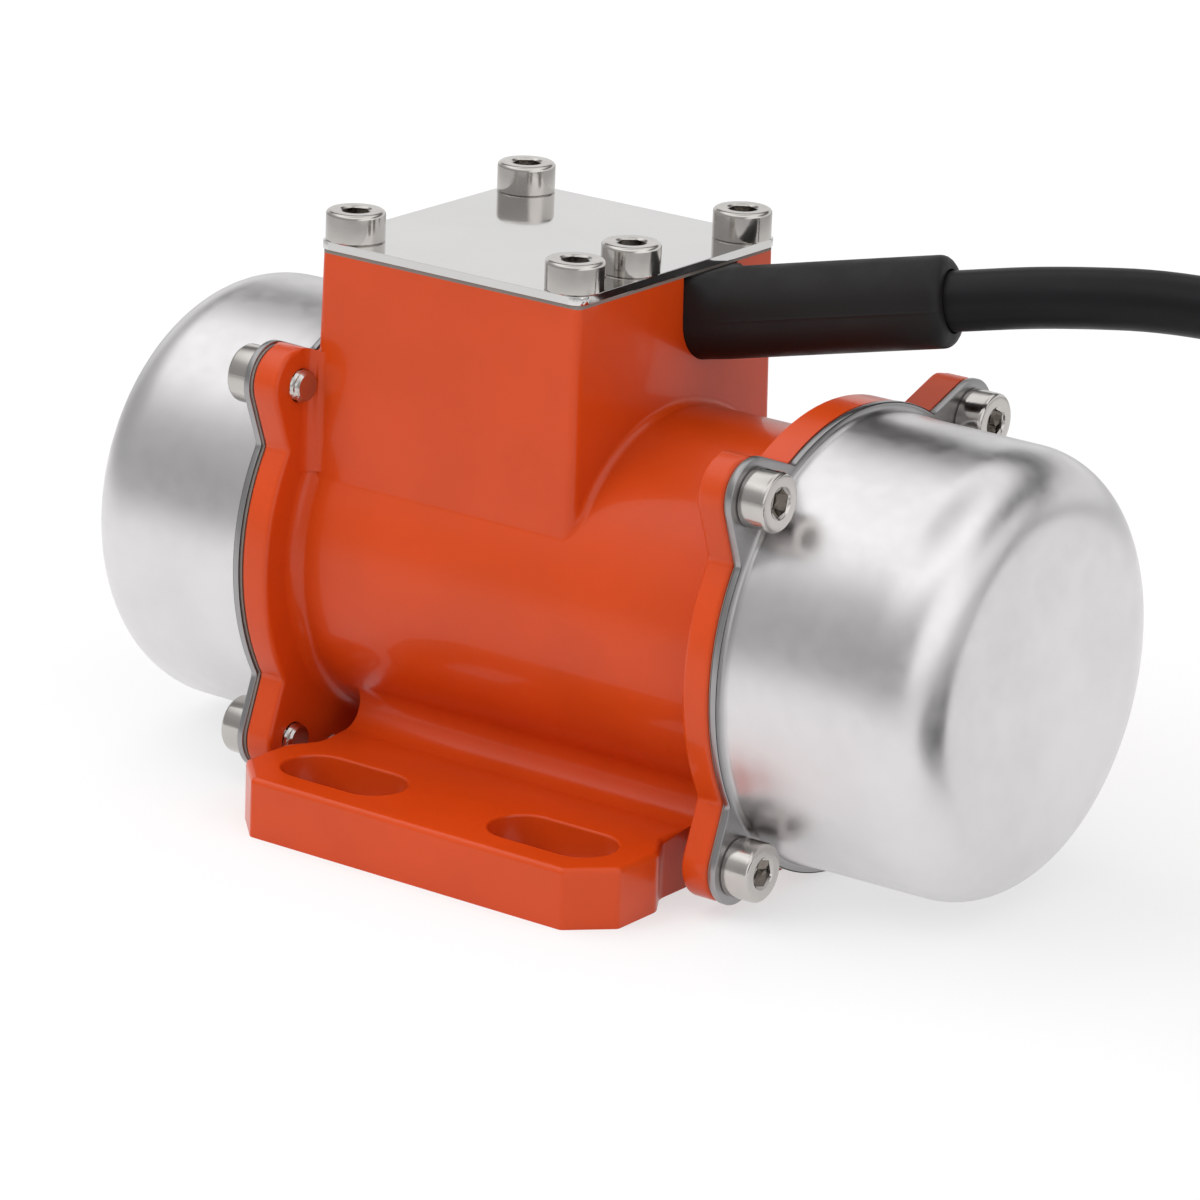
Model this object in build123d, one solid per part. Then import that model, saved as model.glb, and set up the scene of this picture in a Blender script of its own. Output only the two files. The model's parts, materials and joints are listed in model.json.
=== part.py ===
"""Foot-mounted vibration motor: one cast housing, two drawn end caps over adjustable unbalance weights,
and a junction box with a rubber-sleeved lead.

Millimetres. X runs along the shaft, towards the lead's side. Y runs across the feet. Z is up, and the
origin is the centre of the mounting face.
"""

import math
import os

from build123d import *

# Motor axis and casting
axis_height = 27.5
bore_radius = 18.0
barrel_wall = 4.0
seat_x = 33.3
flange_thickness = 3.7
flange_blend = 1.8
disc_radius = 27.2
notch_radius = 1.0

# Ears that the cap screws go into
screw_offset = 21.5
ear_radius = 4.4
ear_root_angle = 14.3

# Feet
foot_half_width = 38.0
foot_half_length = 26.9
foot_thickness = 7.2
foot_corner = 4.6
foot_corner_round = 0.8
pad_depth = 11.8
step_depth = 3.4
step_round = 2.5
neck_half_length = 24.8
web_half_width = 8.0
web_corner = 3.5
barrel_to_foot_fillet = 3.0
slot_x = 15.0
slot_edge = 8.0
slot_length = 16.4
slot_width = 8.4
relief_length = 40.0
relief_width = 28.0
relief_depth = 1.5

# Junction box
box_centre_x = -10.6
box_half_x = 18.45
box_half_y = 18.9
box_top = 64.5
box_draft_angle = 1.2
box_corner = 0.8
box_wall = 2.6
cavity_floor = 51.5
box_to_barrel_fillet = 1.0
box_to_flange_fillet = 2.0
lid_gasket_thickness = 0.5
lid_thickness = 1.0
lid_overhang = 0.35
lid_corner = 1.6
lid_screw_inset = 3.1
fifth_screw_y = -5.6
boss_radius = 3.6
wire_hole_x = -17.6
wire_hole_radius = 2.7

# Drawn cap
cap_radius = 26.2
cap_sheet = 0.8
cap_end_x = 59.7
cap_corner = 7.5
cap_root = 0.8
cap_rim = 0.1
gasket_thickness = 0.3
gasket_setback = 0.2
gasket_width = 3.0

# Socket screws of caps and lid
thread_radius = 2.0
thread_chamfer = 0.4
clearance_hole = 2.25
head_radius = 3.45
head_height = 3.5
head_round = 0.45
socket_flats = 3.0
socket_depth = 2.0
cap_screw_length = 6.0
lid_screw_length = 7.0

# Shaft
shaft_radius = 5.0
journal_radius = 4.0
shaft_end_x = 52.0
shaft_chamfer = 0.6
shaft_gap = 0.2

# Ball bearings
bearing_inner_x = 24.5
bearing_width = 7.0
bearing_radius = 11.0
inner_shoulder = 6.0
outer_shoulder = 9.0
ball_radius = 2.0
ball_pitch_radius = 7.5
ball_count = 7
ball_clearance = 0.1
cage_half_width = 2.7
cage_wall = 0.9
washer_thickness = 0.6
washer_inset = 0.3

# Bearing shields
shield_plate = 2.5
shield_radius = 23.0
shield_fit = 0.1
shield_hub_radius = 13.5
shield_spigot = 2.0
shield_screw_circle = 20.0
shield_thread = 1.5
shield_head = 2.8
shield_sink = 1.4
shield_screw_length = 6.0
shield_socket_flats = 2.0
shield_socket_depth = 1.2

# Rotor and stator
core_half_length = 12.0
rotor_radius = 10.0
air_gap = 0.3
end_ring_width = 3.0
end_ring_radius = 9.5
coil_slots = 12
slot_bottom_radius = 16.2
slot_top_radius = 11.6
slot_side_width = 2.6
slot_side_round = 0.6
end_turn_length = 8.0
end_turn_inner = 11.2
end_turn_outer = 16.6
end_turn_round = 2.0

# Unbalance weights
weight_radius = 22.0
weight_width = 6.0
weight_hub_radius = 9.0
weight_start_x = 36.0
weight_gap = 0.25
running_fit = 0.05
spacer_radius = 4.9
key_width = 3.0
key_height = 3.0
key_depth = 1.5
clamp_slit = 1.0
clamp_lug_half_width = 6.0
clamp_lug_top = 9.6
clamp_screw_z = 6.6
clamp_screw_radius = 1.5
clamp_head_radius = 2.6
clamp_head_height = 2.6
clamp_head_clearance = 0.2
clamp_socket_flats = 2.5
clamp_socket_depth = 1.4
retainer_width = 0.8
retainer_radius = 6.0
retainer_groove_radius = 3.2
retainer_mouth = 3.8

# Junction box contents
capacitor_width = 9.0
capacitor_height = 9.0
capacitor_round = 1.2
capacitor_gap = 0.4
capacitor_wall_gap = 3.2
terminal_x = -10.0
terminal_width = 9.0
terminal_height = 8.0
terminal_side_gap = 0.4
terminal_middle_gap = 0.5
terminal_way_count = 3
terminal_screw_radius = 1.4
terminal_well = 1.7
terminal_slot = 0.6
terminal_wire_height = 2.0
core_radius = 0.8
core_bend = 1.0
core_pitch = 1.7
core_insertion = 1.0
earth_wall_gap = 3.25
earth_boss_height = 3.0
earth_head_radius = 2.6
earth_head_height = 2.0
earth_slot = 0.8
contact_gap = 0.05

# Cable sleeve
sleeve_radius = 5.3
sleeve_y = 6.3
sleeve_z = 59.2
sleeve_stand = 0.5
sleeve_round = 1.2
sleeve_root = 4.0
sleeve_root_round = 2.0
sleeve_inner_flange = 1.5

# Supply lead, with its route from the sleeve's end to the stored coil
lead_radius = 3.5
lead_inside = 6.5
core_circle = 1.6
lead_route = [
    (36.9, 12.5, 65.0),
    (48.3, 15.7, 67.1),
    (62.9, 22.2, 67.9),
    (83.8, 32.8, 63.8),
    (102.8, 38.6, 47.1),
    (115.1, 40.3, 21.9),
    (134.5, 39.2, 7.2),
    (156.6, 33.6, 3.5),
]

# Stored coil, its tie, and the lead's stripped end
coil_centre = (145.3, -3.2)
coil_middle_radius = 35.0
coil_bundle = 14.0
coil_corner = 3.4
tie_thickness = 0.8
tie_width = 5.0
tie_angle = 15.0
tail_angle = -37.0
tail_space = 80.0
tail_core_angle = 36.0
tail_core_spread = 1.9
ferrule_radius = 0.65
ferrule_angle = 12.0

BOTTOM = (Align.CENTER, Align.CENTER, Align.MIN)

barrel_radius = bore_radius + barrel_wall
flange_inner_x = seat_x - flange_thickness
recess_x = seat_x - shield_plate
cap_back_x = seat_x + gasket_thickness
cap_face_x = cap_back_x + cap_sheet
bearing_outer_x = bearing_inner_x + bearing_width
bearing_middle_x = bearing_inner_x + bearing_width / 2
lid_bottom = box_top + lid_gasket_thickness
lid_top = lid_bottom + lid_thickness
second_weight_x = weight_start_x + weight_width + weight_gap
retainer_x = second_weight_x + weight_width + weight_gap
clamp_x = second_weight_x + weight_width / 2
box_face_x = box_centre_x + box_half_x
slot_y = foot_half_width - slot_edge
wire_z = cavity_floor + terminal_wire_height

# Places in the junction box, from its inner walls
inner_half_y = box_half_y - box_wall
inner_left_x = box_centre_x - box_half_x + box_wall
terminal_length = inner_half_y - terminal_side_gap - terminal_middle_gap
terminal_y = -terminal_middle_gap - terminal_length / 2
terminal_pitch = (terminal_length - terminal_side_gap) / terminal_way_count
terminal_left_x = terminal_x - terminal_width / 2
terminal_right_x = terminal_x + terminal_width / 2
earth_x = inner_left_x + earth_wall_gap
capacitor_y = inner_half_y - capacitor_wall_gap - capacitor_width / 2
capacitor_left_x = earth_x + boss_radius + capacitor_gap
capacitor_length = terminal_right_x - 2 * capacitor_gap - capacitor_left_x
tail_z = coil_bundle / 2


def at_axis(part):
    """The part, drawn about the X axis, lifted to the motor's axis."""
    return Pos(0, 0, axis_height) * part


def turned(sketch):
    """A ring about the motor's axis, from a half section drawn as (x, radius)."""
    return at_axis(revolve(Plane.XZ * sketch, Axis.X))


def band(start_x, end_x, inner, outer):
    """The half section of a plain ring, as a rectangle in (x, radius)."""
    return Pos(start_x, inner) * Rectangle(end_x - start_x, outer - inner, align=(Align.MIN, Align.MIN))


def across(sketch, start_x, end_x):
    """A sketch drawn across the shaft, in (y, z) from the axis, extruded from one X to another."""
    return at_axis(extrude(Plane.YZ.offset(start_x) * sketch, end_x - start_x))


def along_x(part):
    """A part drawn along Z, laid along X."""
    return Rot(0, 90, 0) * part


def left_of(part):
    """The same piece at the other end of the motor."""
    return mirror(part, about=Plane.YZ)


def rounded_face(corners):
    """A face from its corners, each given as (x, y, radius of its rounding)."""
    face = make_face(Polyline(*[(x, y) for x, y, radius in corners], close=True))
    for x, y, radius in corners:
        if radius > 0:
            face = fillet(corner_of(face, x, y), radius)
    return face


def corner_of(section, x, y):
    """The sketch's corner nearest to a point."""
    return section.vertices().sort_by_distance(Vector(x, y, 0))[0]


def ear_places():
    """The ear centres, in (y, z) from the axis."""
    return [(y, z) for y in (-screw_offset, screw_offset) for z in (-screw_offset, screw_offset)]


def ear_holes(radius):
    """Four round holes at the ears, as a sketch in (y, z)."""
    return Sketch() + [Pos(y, z) * Circle(radius) for y, z in ear_places()]


def eared_outline(setback=0.0):
    """The flange outline that casting, gasket and cap share: a disc with four ears, drawn in (y, z)."""
    disc = disc_radius - setback
    reach = screw_offset * math.sqrt(2)
    tip = Pos(reach, 0) * Circle(ear_radius - setback)
    root_x = disc * math.cos(math.radians(ear_root_angle))
    root_y = disc * math.sin(math.radians(ear_root_angle))
    ear = make_hull(tip.edges() + Line((root_x, -root_y), (root_x, root_y)).edges())
    outline = Circle(disc)
    for turn in (45, 135, 225, 315):
        outline += Rot(0, 0, turn) * ear
    return outline


def softened_notches(outline):
    """The outline with the notches between disc and ears rounded, as they come from a mould."""
    notches = [v for v in outline.vertices() if abs(math.hypot(v.X, v.Y) - disc_radius) < contact_gap]
    return fillet(notches, notch_radius)


def socket_screw(length):
    """A socket head screw standing on Z = 0, head up, thread down."""
    head = Cylinder(head_radius, head_height, align=BOTTOM)
    head = fillet(head.edges().sort_by(Axis.Z)[-1], head_round)
    shank = Pos(0, 0, -length) * Cylinder(thread_radius, length, align=BOTTOM)
    shank = chamfer(shank.edges().sort_by(Axis.Z)[0], thread_chamfer)
    return head + shank - hex_socket(head_height, socket_flats, socket_depth)


def hex_socket(top, flats, depth):
    """A hexagonal socket sunk from a height."""
    hexagon = RegularPolygon(flats / 2, 6, major_radius=False)
    return Pos(0, 0, top - depth) * extrude(hexagon, depth)


def lid_screw_places():
    """Where the five lid screws stand, in (x, y)."""
    x = box_half_x + lid_overhang - lid_screw_inset
    y = box_half_y + lid_overhang - lid_screw_inset
    corners = [(box_centre_x + i * x, j * y) for i in (-1, 1) for j in (-1, 1)]
    return corners + [(box_centre_x + x, fifth_screw_y)]


def sleeve_section(radius):
    """The sleeve where it sits in the box wall, in (y, z): round below and square on top, under the lid."""
    top = box_top - sleeve_z
    square_part = Pos(0, top / 2) * Rectangle(2 * radius, top)
    return Pos(sleeve_y, sleeve_z - axis_height) * (Circle(radius) + square_part)


def foot_outline():
    """The base plate seen from above: two wide pads on narrower necks, joined to both flanges by a web."""
    pad_inner = foot_half_width - pad_depth
    quarter = rounded_face([
        (flange_inner_x, 0, 0),
        (flange_inner_x, web_half_width, 0),
        (neck_half_length, web_half_width, web_corner),
        (neck_half_length, pad_inner - step_depth, step_round),
        (foot_half_length, pad_inner, step_round),
        (foot_half_length, foot_half_width - foot_corner, foot_corner_round),
        (foot_half_length - foot_corner, foot_half_width, foot_corner_round),
        (0, foot_half_width, 0),
        (0, 0, 0),
    ])
    half = quarter + mirror(quarter, about=Plane.YZ)
    return half + mirror(half, about=Plane.XZ)


def barrel_and_box():
    """The barrel with the drafted junction box blended into its top."""
    barrel = at_axis(along_x(Cylinder(barrel_radius, 2 * flange_inner_x)))
    rim = Pos(box_centre_x, 0, box_top) * RectangleRounded(2 * box_half_x, 2 * box_half_y, box_corner)
    box = extrude(rim, axis_height - box_top, taper=-box_draft_angle)
    body = barrel + box
    seams = [e for e in new_edges(barrel, box, combined=body) if e.center().X > flange_blend - flange_inner_x]
    side_room = barrel_radius - box_half_y
    return fillet(seams, min(box_to_barrel_fillet, side_room / 3))


def feet():
    """The base plate with its hollow fillets up to the barrel."""
    plate = Pos(0, foot_thickness / 2 - axis_height) * Rectangle(2 * foot_half_width, foot_thickness)
    section = Circle(barrel_radius) + plate
    joins = [
        v
        for v in section.vertices()
        if abs(v.Y + axis_height - foot_thickness) < contact_gap and abs(v.X) < barrel_radius
    ]
    section = fillet(joins, barrel_to_foot_fillet)
    return across(section, -flange_inner_x, flange_inner_x) & extrude(foot_outline(), axis_height / 2)


def flange_root():
    """The hollow blend between the barrel and the right-hand flange."""
    sunk = flange_thickness / 2
    side = flange_blend + sunk
    start = flange_inner_x - flange_blend
    block = Pos(start, barrel_radius - sunk) * Rectangle(side, side, align=(Align.MIN, Align.MIN))
    return turned(block - Pos(start, barrel_radius + flange_blend) * Circle(flange_blend))


def box_flange_blends(outline):
    """The hollow blends between the box's front and back walls and the left flange, along the draft."""
    sunk = flange_thickness / 4
    side = box_to_flange_fillet + sunk
    corner = Pos(-flange_inner_x - sunk, sunk) * Rectangle(side, side, align=(Align.MIN, Align.MAX))
    hollow = Pos(box_to_flange_fillet - flange_inner_x, -box_to_flange_fillet) * Circle(box_to_flange_fillet)
    strip = extrude(corner - hollow, axis_height + barrel_radius / 2 - box_top)
    front = Pos(0, -box_half_y, box_top) * Rot(-box_draft_angle, 0, 0) * strip
    return (front + mirror(front, about=Plane.XZ)) & across(outline, -seat_x, -neck_half_length)


def box_bridge(outline):
    """Metal that closes the narrow space between the box's left wall and the left flange."""
    upper = outline & Rectangle(2 * box_half_y, 4 * box_half_y)
    upper &= Pos(0, barrel_radius) * Rectangle(2 * disc_radius, 2 * barrel_radius)
    return across(upper, -flange_inner_x, flange_thickness / 4 - flange_inner_x)


def box_cavity():
    """The space inside the junction box, with a boss left standing under each lid screw."""
    inside_x = 2 * (box_half_x - box_wall)
    inside_y = 2 * (box_half_y - box_wall)
    space = Pos(box_centre_x, 0) * RectangleRounded(inside_x, inside_y, box_corner)
    reach = boss_radius + box_wall
    for x, y in lid_screw_places():
        outward = 1 if x > box_centre_x else -1
        arm = Pos(outward * reach / 2, 0) * Rectangle(reach, 2 * boss_radius)
        space -= Pos(x, y) * (Circle(boss_radius) + arm)
    cavity = Pos(0, 0, cavity_floor) * extrude(space, lid_bottom - cavity_floor)
    return cavity - Pos(earth_x, capacitor_y, cavity_floor) * Cylinder(boss_radius, earth_boss_height, align=BOTTOM)


def housing_cuts():
    """What is cut from the casting: bore, recesses, slots, screw holes and the sleeve's notch."""
    bore = turned(band(-seat_x, seat_x, 0, bore_radius))
    recess = turned(band(recess_x, seat_x + flange_thickness, 0, shield_radius + shield_fit))
    wire_hole = Pos(wire_hole_x, 0, axis_height) * Cylinder(
        wire_hole_radius, cavity_floor - axis_height + box_wall, align=BOTTOM
    )
    slots = [
        Pos(x, y) * extrude(SlotOverall(slot_length, slot_width), foot_thickness, both=True)
        for x in (-slot_x, slot_x)
        for y in (-slot_y, slot_y)
    ]
    relief = extrude(RectangleRounded(relief_length, relief_width, web_corner), relief_depth, both=True)
    cap_threads = across(ear_holes(thread_radius), flange_inner_x - flange_blend, seat_x + contact_gap)
    notch = across(sleeve_section(sleeve_radius), box_face_x - 2 * box_wall, box_face_x + 2 * box_wall)
    lid_threads = [
        Pos(x, y, lid_top - lid_screw_length) * Cylinder(thread_radius, lid_screw_length, align=BOTTOM)
        for x, y in lid_screw_places()
    ]
    shield_threads = shield_screw_holes()
    cuts = [box_cavity(), bore, recess, left_of(recess), wire_hole, *slots, relief, notch]
    cuts += [cap_threads, left_of(cap_threads)]
    return cuts + lid_threads + shield_threads + [left_of(hole) for hole in shield_threads]


def make_housing():
    """The casting: barrel, eared flanges, stepped feet with slots, and the open junction box."""
    outline = softened_notches(eared_outline())
    flange = across(outline, flange_inner_x, seat_x)
    root = flange_root()
    body = barrel_and_box()
    body += [feet(), flange, left_of(flange), root, left_of(root)]
    body += [box_bridge(outline), box_flange_blends(outline)]
    return body - housing_cuts()


def make_cap():
    """The right-hand cap: a drawn cup with its eared flange, one sheet thickness all over."""
    rim = disc_radius + cap_rim
    inner = cap_radius - cap_sheet
    section = rounded_face([
        (cap_back_x, rim, 0),
        (cap_face_x, rim, 0),
        (cap_face_x, cap_radius, cap_root),
        (cap_end_x, cap_radius, cap_corner),
        (cap_end_x, 0, 0),
        (cap_end_x - cap_sheet, 0, 0),
        (cap_end_x - cap_sheet, inner, cap_corner - cap_sheet),
        (cap_back_x, inner, cap_root + cap_sheet / 2),
    ])
    ears = eared_outline(-cap_rim) - Circle(disc_radius - cap_sheet / 2) - ear_holes(clearance_hole)
    return turned(section) + across(ears, cap_back_x, cap_face_x)


def make_gasket():
    """The thin gasket under the right-hand cap."""
    ring = eared_outline(gasket_setback) - Circle(disc_radius - gasket_width) - ear_holes(clearance_hole)
    return across(ring, seat_x, cap_back_x)


def make_cap_screws():
    """The four screws of the right-hand cap."""
    screw = along_x(socket_screw(cap_screw_length))
    return Part() + [at_axis(Pos(cap_face_x, y, z) * screw) for y, z in ear_places()]


def make_lid():
    """The lid sheet, square with rounded corners."""
    size_x = 2 * (box_half_x + lid_overhang)
    size_y = 2 * (box_half_y + lid_overhang)
    plate = Pos(box_centre_x, 0) * RectangleRounded(size_x, size_y, lid_corner)
    for x, y in lid_screw_places():
        plate -= Pos(x, y) * Circle(clearance_hole)
    return Pos(0, 0, lid_bottom) * extrude(plate, lid_thickness)


def make_lid_gasket():
    """The gasket between the box rim and the lid."""
    inner_x = 2 * (box_half_x - box_wall)
    inner_y = 2 * (box_half_y - box_wall)
    opening = RectangleRounded(inner_x, inner_y, box_corner)
    ring = Pos(box_centre_x, 0) * (RectangleRounded(2 * box_half_x, 2 * box_half_y, box_corner) - opening)
    for x, y in lid_screw_places():
        ring += Pos(x, y) * Circle(boss_radius) & Pos(box_centre_x, 0) * opening
    for x, y in lid_screw_places():
        ring -= Pos(x, y) * Circle(clearance_hole)
    return Pos(0, 0, box_top) * extrude(ring, lid_gasket_thickness)


def make_lid_screws():
    """The five screws of the lid."""
    screw = socket_screw(lid_screw_length)
    return Part() + [Pos(x, y, lid_top) * screw for x, y in lid_screw_places()]


def shield_screw_places():
    """Where the shield's screws end, on the face of the right-hand shield."""
    return [at_axis(Pos(seat_x, y * shield_screw_circle, z * shield_screw_circle)) for y, z in
            ((0, 1), (1, 0), (0, -1), (-1, 0))]


def shield_screw_body(radius):
    """A cylinder as long as a shield screw, ending at X = 0."""
    return Pos(-shield_screw_length, 0, 0) * along_x(Cylinder(radius, shield_screw_length, align=BOTTOM))


def shield_screw_head():
    """The countersunk head of a shield screw, ending at X = 0."""
    cone = Cone(shield_thread, shield_head, shield_sink, align=BOTTOM)
    return Pos(-shield_sink, 0, 0) * along_x(cone)


def shield_screw_holes():
    """The threaded holes for the right-hand shield's screws."""
    return [place * shield_screw_body(shield_thread) for place in shield_screw_places()]


def make_shield(pocket_play=0.0):
    """The right-hand bearing shield: a plate screwed to the casting, with a pocket for the bearing."""
    pocket_x = bearing_outer_x + pocket_play
    section = band(bearing_inner_x, seat_x, spacer_radius + shaft_gap, shield_hub_radius)
    section += band(recess_x - shield_spigot, seat_x, spacer_radius + shaft_gap, bore_radius)
    section += band(recess_x, seat_x, spacer_radius + shaft_gap, shield_radius)
    section -= band(bearing_inner_x, pocket_x, 0, bearing_radius)
    shield = turned(section)
    return shield - [place * (shield_screw_body(shield_thread) + shield_screw_head())
                     for place in shield_screw_places()]


def make_shield_screws():
    """The four countersunk screws of the right-hand shield."""
    socket = along_x(hex_socket(0, shield_socket_flats, shield_socket_depth))
    screw = shield_screw_body(shield_thread) + shield_screw_head() - socket
    return Part() + [place * screw for place in shield_screw_places()]


def make_bearing_ring(inner, outer):
    """One ring of the right-hand ball bearing, with its groove."""
    section = band(bearing_inner_x, bearing_outer_x, inner, outer)
    section -= Pos(bearing_middle_x, ball_pitch_radius) * Circle(ball_radius + ball_clearance)
    return turned(section)


def make_balls():
    """The balls of the right-hand bearing and the cage that spaces them."""
    start = bearing_middle_x - cage_half_width
    end = bearing_middle_x + cage_half_width
    cage = turned(band(start, end, ball_pitch_radius - cage_wall, ball_pitch_radius + cage_wall))
    places = []
    for i in range(ball_count):
        turn = 2 * math.pi * i / ball_count
        y = ball_pitch_radius * math.sin(turn)
        z = ball_pitch_radius * math.cos(turn)
        places.append(Pos(bearing_middle_x, y, axis_height + z))
    cage -= [place * Sphere(ball_radius + ball_clearance) for place in places]
    return cage + [place * Sphere(ball_radius) for place in places]


def make_washer():
    """The spring washer between the left bearing and its shield, pressed flat."""
    inner = outer_shoulder + washer_inset
    outer = bearing_radius - washer_inset
    return left_of(turned(band(bearing_outer_x, bearing_outer_x + washer_thickness, inner, outer)))


def make_shaft():
    """The stepped shaft with a keyway and a retaining groove near each end."""
    journals = at_axis(along_x(Cylinder(journal_radius, 2 * shaft_end_x)))
    shaft = chamfer(journals.edges().filter_by(GeomType.CIRCLE), shaft_chamfer)
    shaft += at_axis(along_x(Cylinder(shaft_radius, 2 * bearing_inner_x)))
    groove = turned(band(retainer_x, retainer_x + retainer_width, retainer_groove_radius, shaft_radius))
    return shaft - [groove, left_of(groove), make_key(), left_of(make_key())]


def make_key():
    """The key of the right-hand fixed weight."""
    key = Box(weight_width, key_width, key_height, align=(Align.MIN, Align.CENTER, Align.MIN))
    return at_axis(Pos(weight_start_x, 0, journal_radius - key_depth) * key)


def weight_outline(bore):
    """Half disc with a round hub, heavy side down, as a sketch in (y, z)."""
    half = Circle(weight_radius) & Pos(0, -weight_radius) * Rectangle(2 * weight_radius, 2 * weight_radius)
    return half + Circle(weight_hub_radius) - Circle(bore)


def make_fixed_weight():
    """The right-hand weight that is keyed to the shaft."""
    weight = across(weight_outline(journal_radius), weight_start_x, weight_start_x + weight_width)
    return weight - make_key()


def make_adjustable_weight():
    """The right-hand outer weight: it turns on the shaft when its clamp screw is loosened."""
    bore = journal_radius + running_fit
    lug = Pos(0, clamp_lug_top / 2) * Rectangle(2 * clamp_lug_half_width, clamp_lug_top)
    slit = Pos(0, clamp_lug_top) * Rectangle(clamp_slit, 2 * clamp_lug_top)
    outline = weight_outline(bore) + lug - Circle(bore) - slit
    weight = across(outline, second_weight_x, second_weight_x + weight_width)
    hole = Rot(90, 0, 0) * Cylinder(clamp_screw_radius, 2 * weight_radius)
    seat_radius = clamp_head_radius + clamp_head_clearance
    seat = Rot(-90, 0, 0) * Cylinder(seat_radius, weight_radius, align=BOTTOM)
    seat = Pos(0, clamp_lug_half_width, 0) * seat
    return weight - at_axis(Pos(clamp_x, 0, clamp_screw_z) * (hole + seat))


def make_clamp_screw():
    """The socket screw that pinches the right-hand adjustable weight on the shaft."""
    length = 2 * clamp_lug_half_width
    shank = Cylinder(clamp_screw_radius, length, align=BOTTOM)
    head = Pos(0, 0, length) * Cylinder(clamp_head_radius, clamp_head_height, align=BOTTOM)
    screw = shank + head - hex_socket(length + clamp_head_height, clamp_socket_flats, clamp_socket_depth)
    return at_axis(Pos(clamp_x, -clamp_lug_half_width, clamp_screw_z) * Rot(-90, 0, 0) * screw)


def make_retainer():
    """The open retaining ring in the right-hand groove."""
    mouth = Pos(0, retainer_radius) * Rectangle(retainer_mouth, 2 * retainer_radius)
    ring = Circle(retainer_radius) - Circle(retainer_groove_radius) - mouth
    return across(ring, retainer_x, retainer_x + retainer_width)


def make_spacer():
    """The sleeve between the right-hand bearing's inner ring and the fixed weight."""
    return turned(band(bearing_outer_x, weight_start_x, journal_radius, spacer_radius))


def make_rotor_core():
    """The laminated rotor core."""
    return turned(band(-core_half_length, core_half_length, shaft_radius, rotor_radius))


def make_end_rings():
    """The two cast rings that close the rotor cage."""
    ring = turned(band(core_half_length, core_half_length + end_ring_width, shaft_radius, end_ring_radius))
    return Part() + [ring, left_of(ring)]


def slot_sides():
    """The stator's coil slots, as a sketch in (y, z)."""
    depth = slot_bottom_radius - slot_top_radius
    side = RectangleRounded(depth, slot_side_width, slot_side_round)
    side = Pos((slot_bottom_radius + slot_top_radius) / 2, 0) * side
    return Sketch() + [Rot(0, 0, 360 * i / coil_slots) * side for i in range(coil_slots)]


def make_stator_core():
    """The laminated stator core, with closed coil slots."""
    ring = Circle(bore_radius) - Circle(rotor_radius + air_gap) - slot_sides()
    return across(ring, -core_half_length, core_half_length)


def make_windings():
    """The windings: coil sides in the slots and a bundle of end turns at each end."""
    end = core_half_length + end_turn_length
    section = band(core_half_length, end, end_turn_inner, end_turn_outer)
    for radius in (end_turn_inner, end_turn_outer):
        section = fillet(corner_of(section, end, radius), end_turn_round)
    bundle = turned(section)
    return across(slot_sides(), -core_half_length, core_half_length) + [bundle, left_of(bundle)]


def make_capacitor():
    """The run capacitor, lying in the junction box."""
    block = Box(capacitor_length, capacitor_width, capacitor_height, align=(Align.MIN, Align.CENTER, Align.MIN))
    block = Pos(capacitor_left_x, capacitor_y, cavity_floor) * block
    return fillet(block.edges().filter_by(Axis.Z), capacitor_round)


def terminal_ways():
    """The Y of each of the terminal block's three ways, the farthest from the motor's middle first."""
    first = terminal_y - terminal_pitch * (terminal_way_count - 1) / 2
    return [first + i * terminal_pitch for i in range(terminal_way_count)]


def make_terminal_block():
    """The three-way terminal block, with its screw wells and wire holes."""
    middle = cavity_floor + terminal_height / 2
    block = Box(terminal_width, terminal_length, terminal_height, align=BOTTOM)
    block = Pos(terminal_x, terminal_y, cavity_floor) * block
    well = Cylinder(terminal_well, terminal_height, align=BOTTOM)
    wire = along_x(Cylinder(core_radius + contact_gap, 2 * terminal_width))
    for way in terminal_ways():
        block -= [Pos(terminal_x, way, middle) * well, Pos(terminal_x, way, wire_z) * wire]
    return block


def make_terminal_screws():
    """The clamping screws of the terminal block."""
    height = terminal_height / 3
    screw = Cylinder(terminal_screw_radius, height, align=BOTTOM)
    screw -= Pos(0, 0, height) * Box(3 * terminal_screw_radius, terminal_slot, 2 * terminal_slot)
    middle = cavity_floor + terminal_height / 2
    return Part() + [Pos(terminal_x, way, middle) * screw for way in terminal_ways()]


def wire_along(points):
    """A round insulated core along straight runs with rounded corners."""
    path = FilletPolyline(*points, radius=core_bend)
    return sweep(path.location_at(0) * Circle(core_radius), path=path)


def make_winding_leads():
    """Three leads from the end turns up through the wire hole and into the terminal block's left side."""
    start_z = axis_height + end_turn_outer + contact_gap
    leads = Part()
    for i, way in enumerate(terminal_ways()):
        x = wire_hole_x + (i - 1) * core_pitch
        points = [(x, 0, start_z), (x, 0, wire_z), (x, way, wire_z), (terminal_left_x + core_insertion, way, wire_z)]
        leads += wire_along(points)
    return leads


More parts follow.
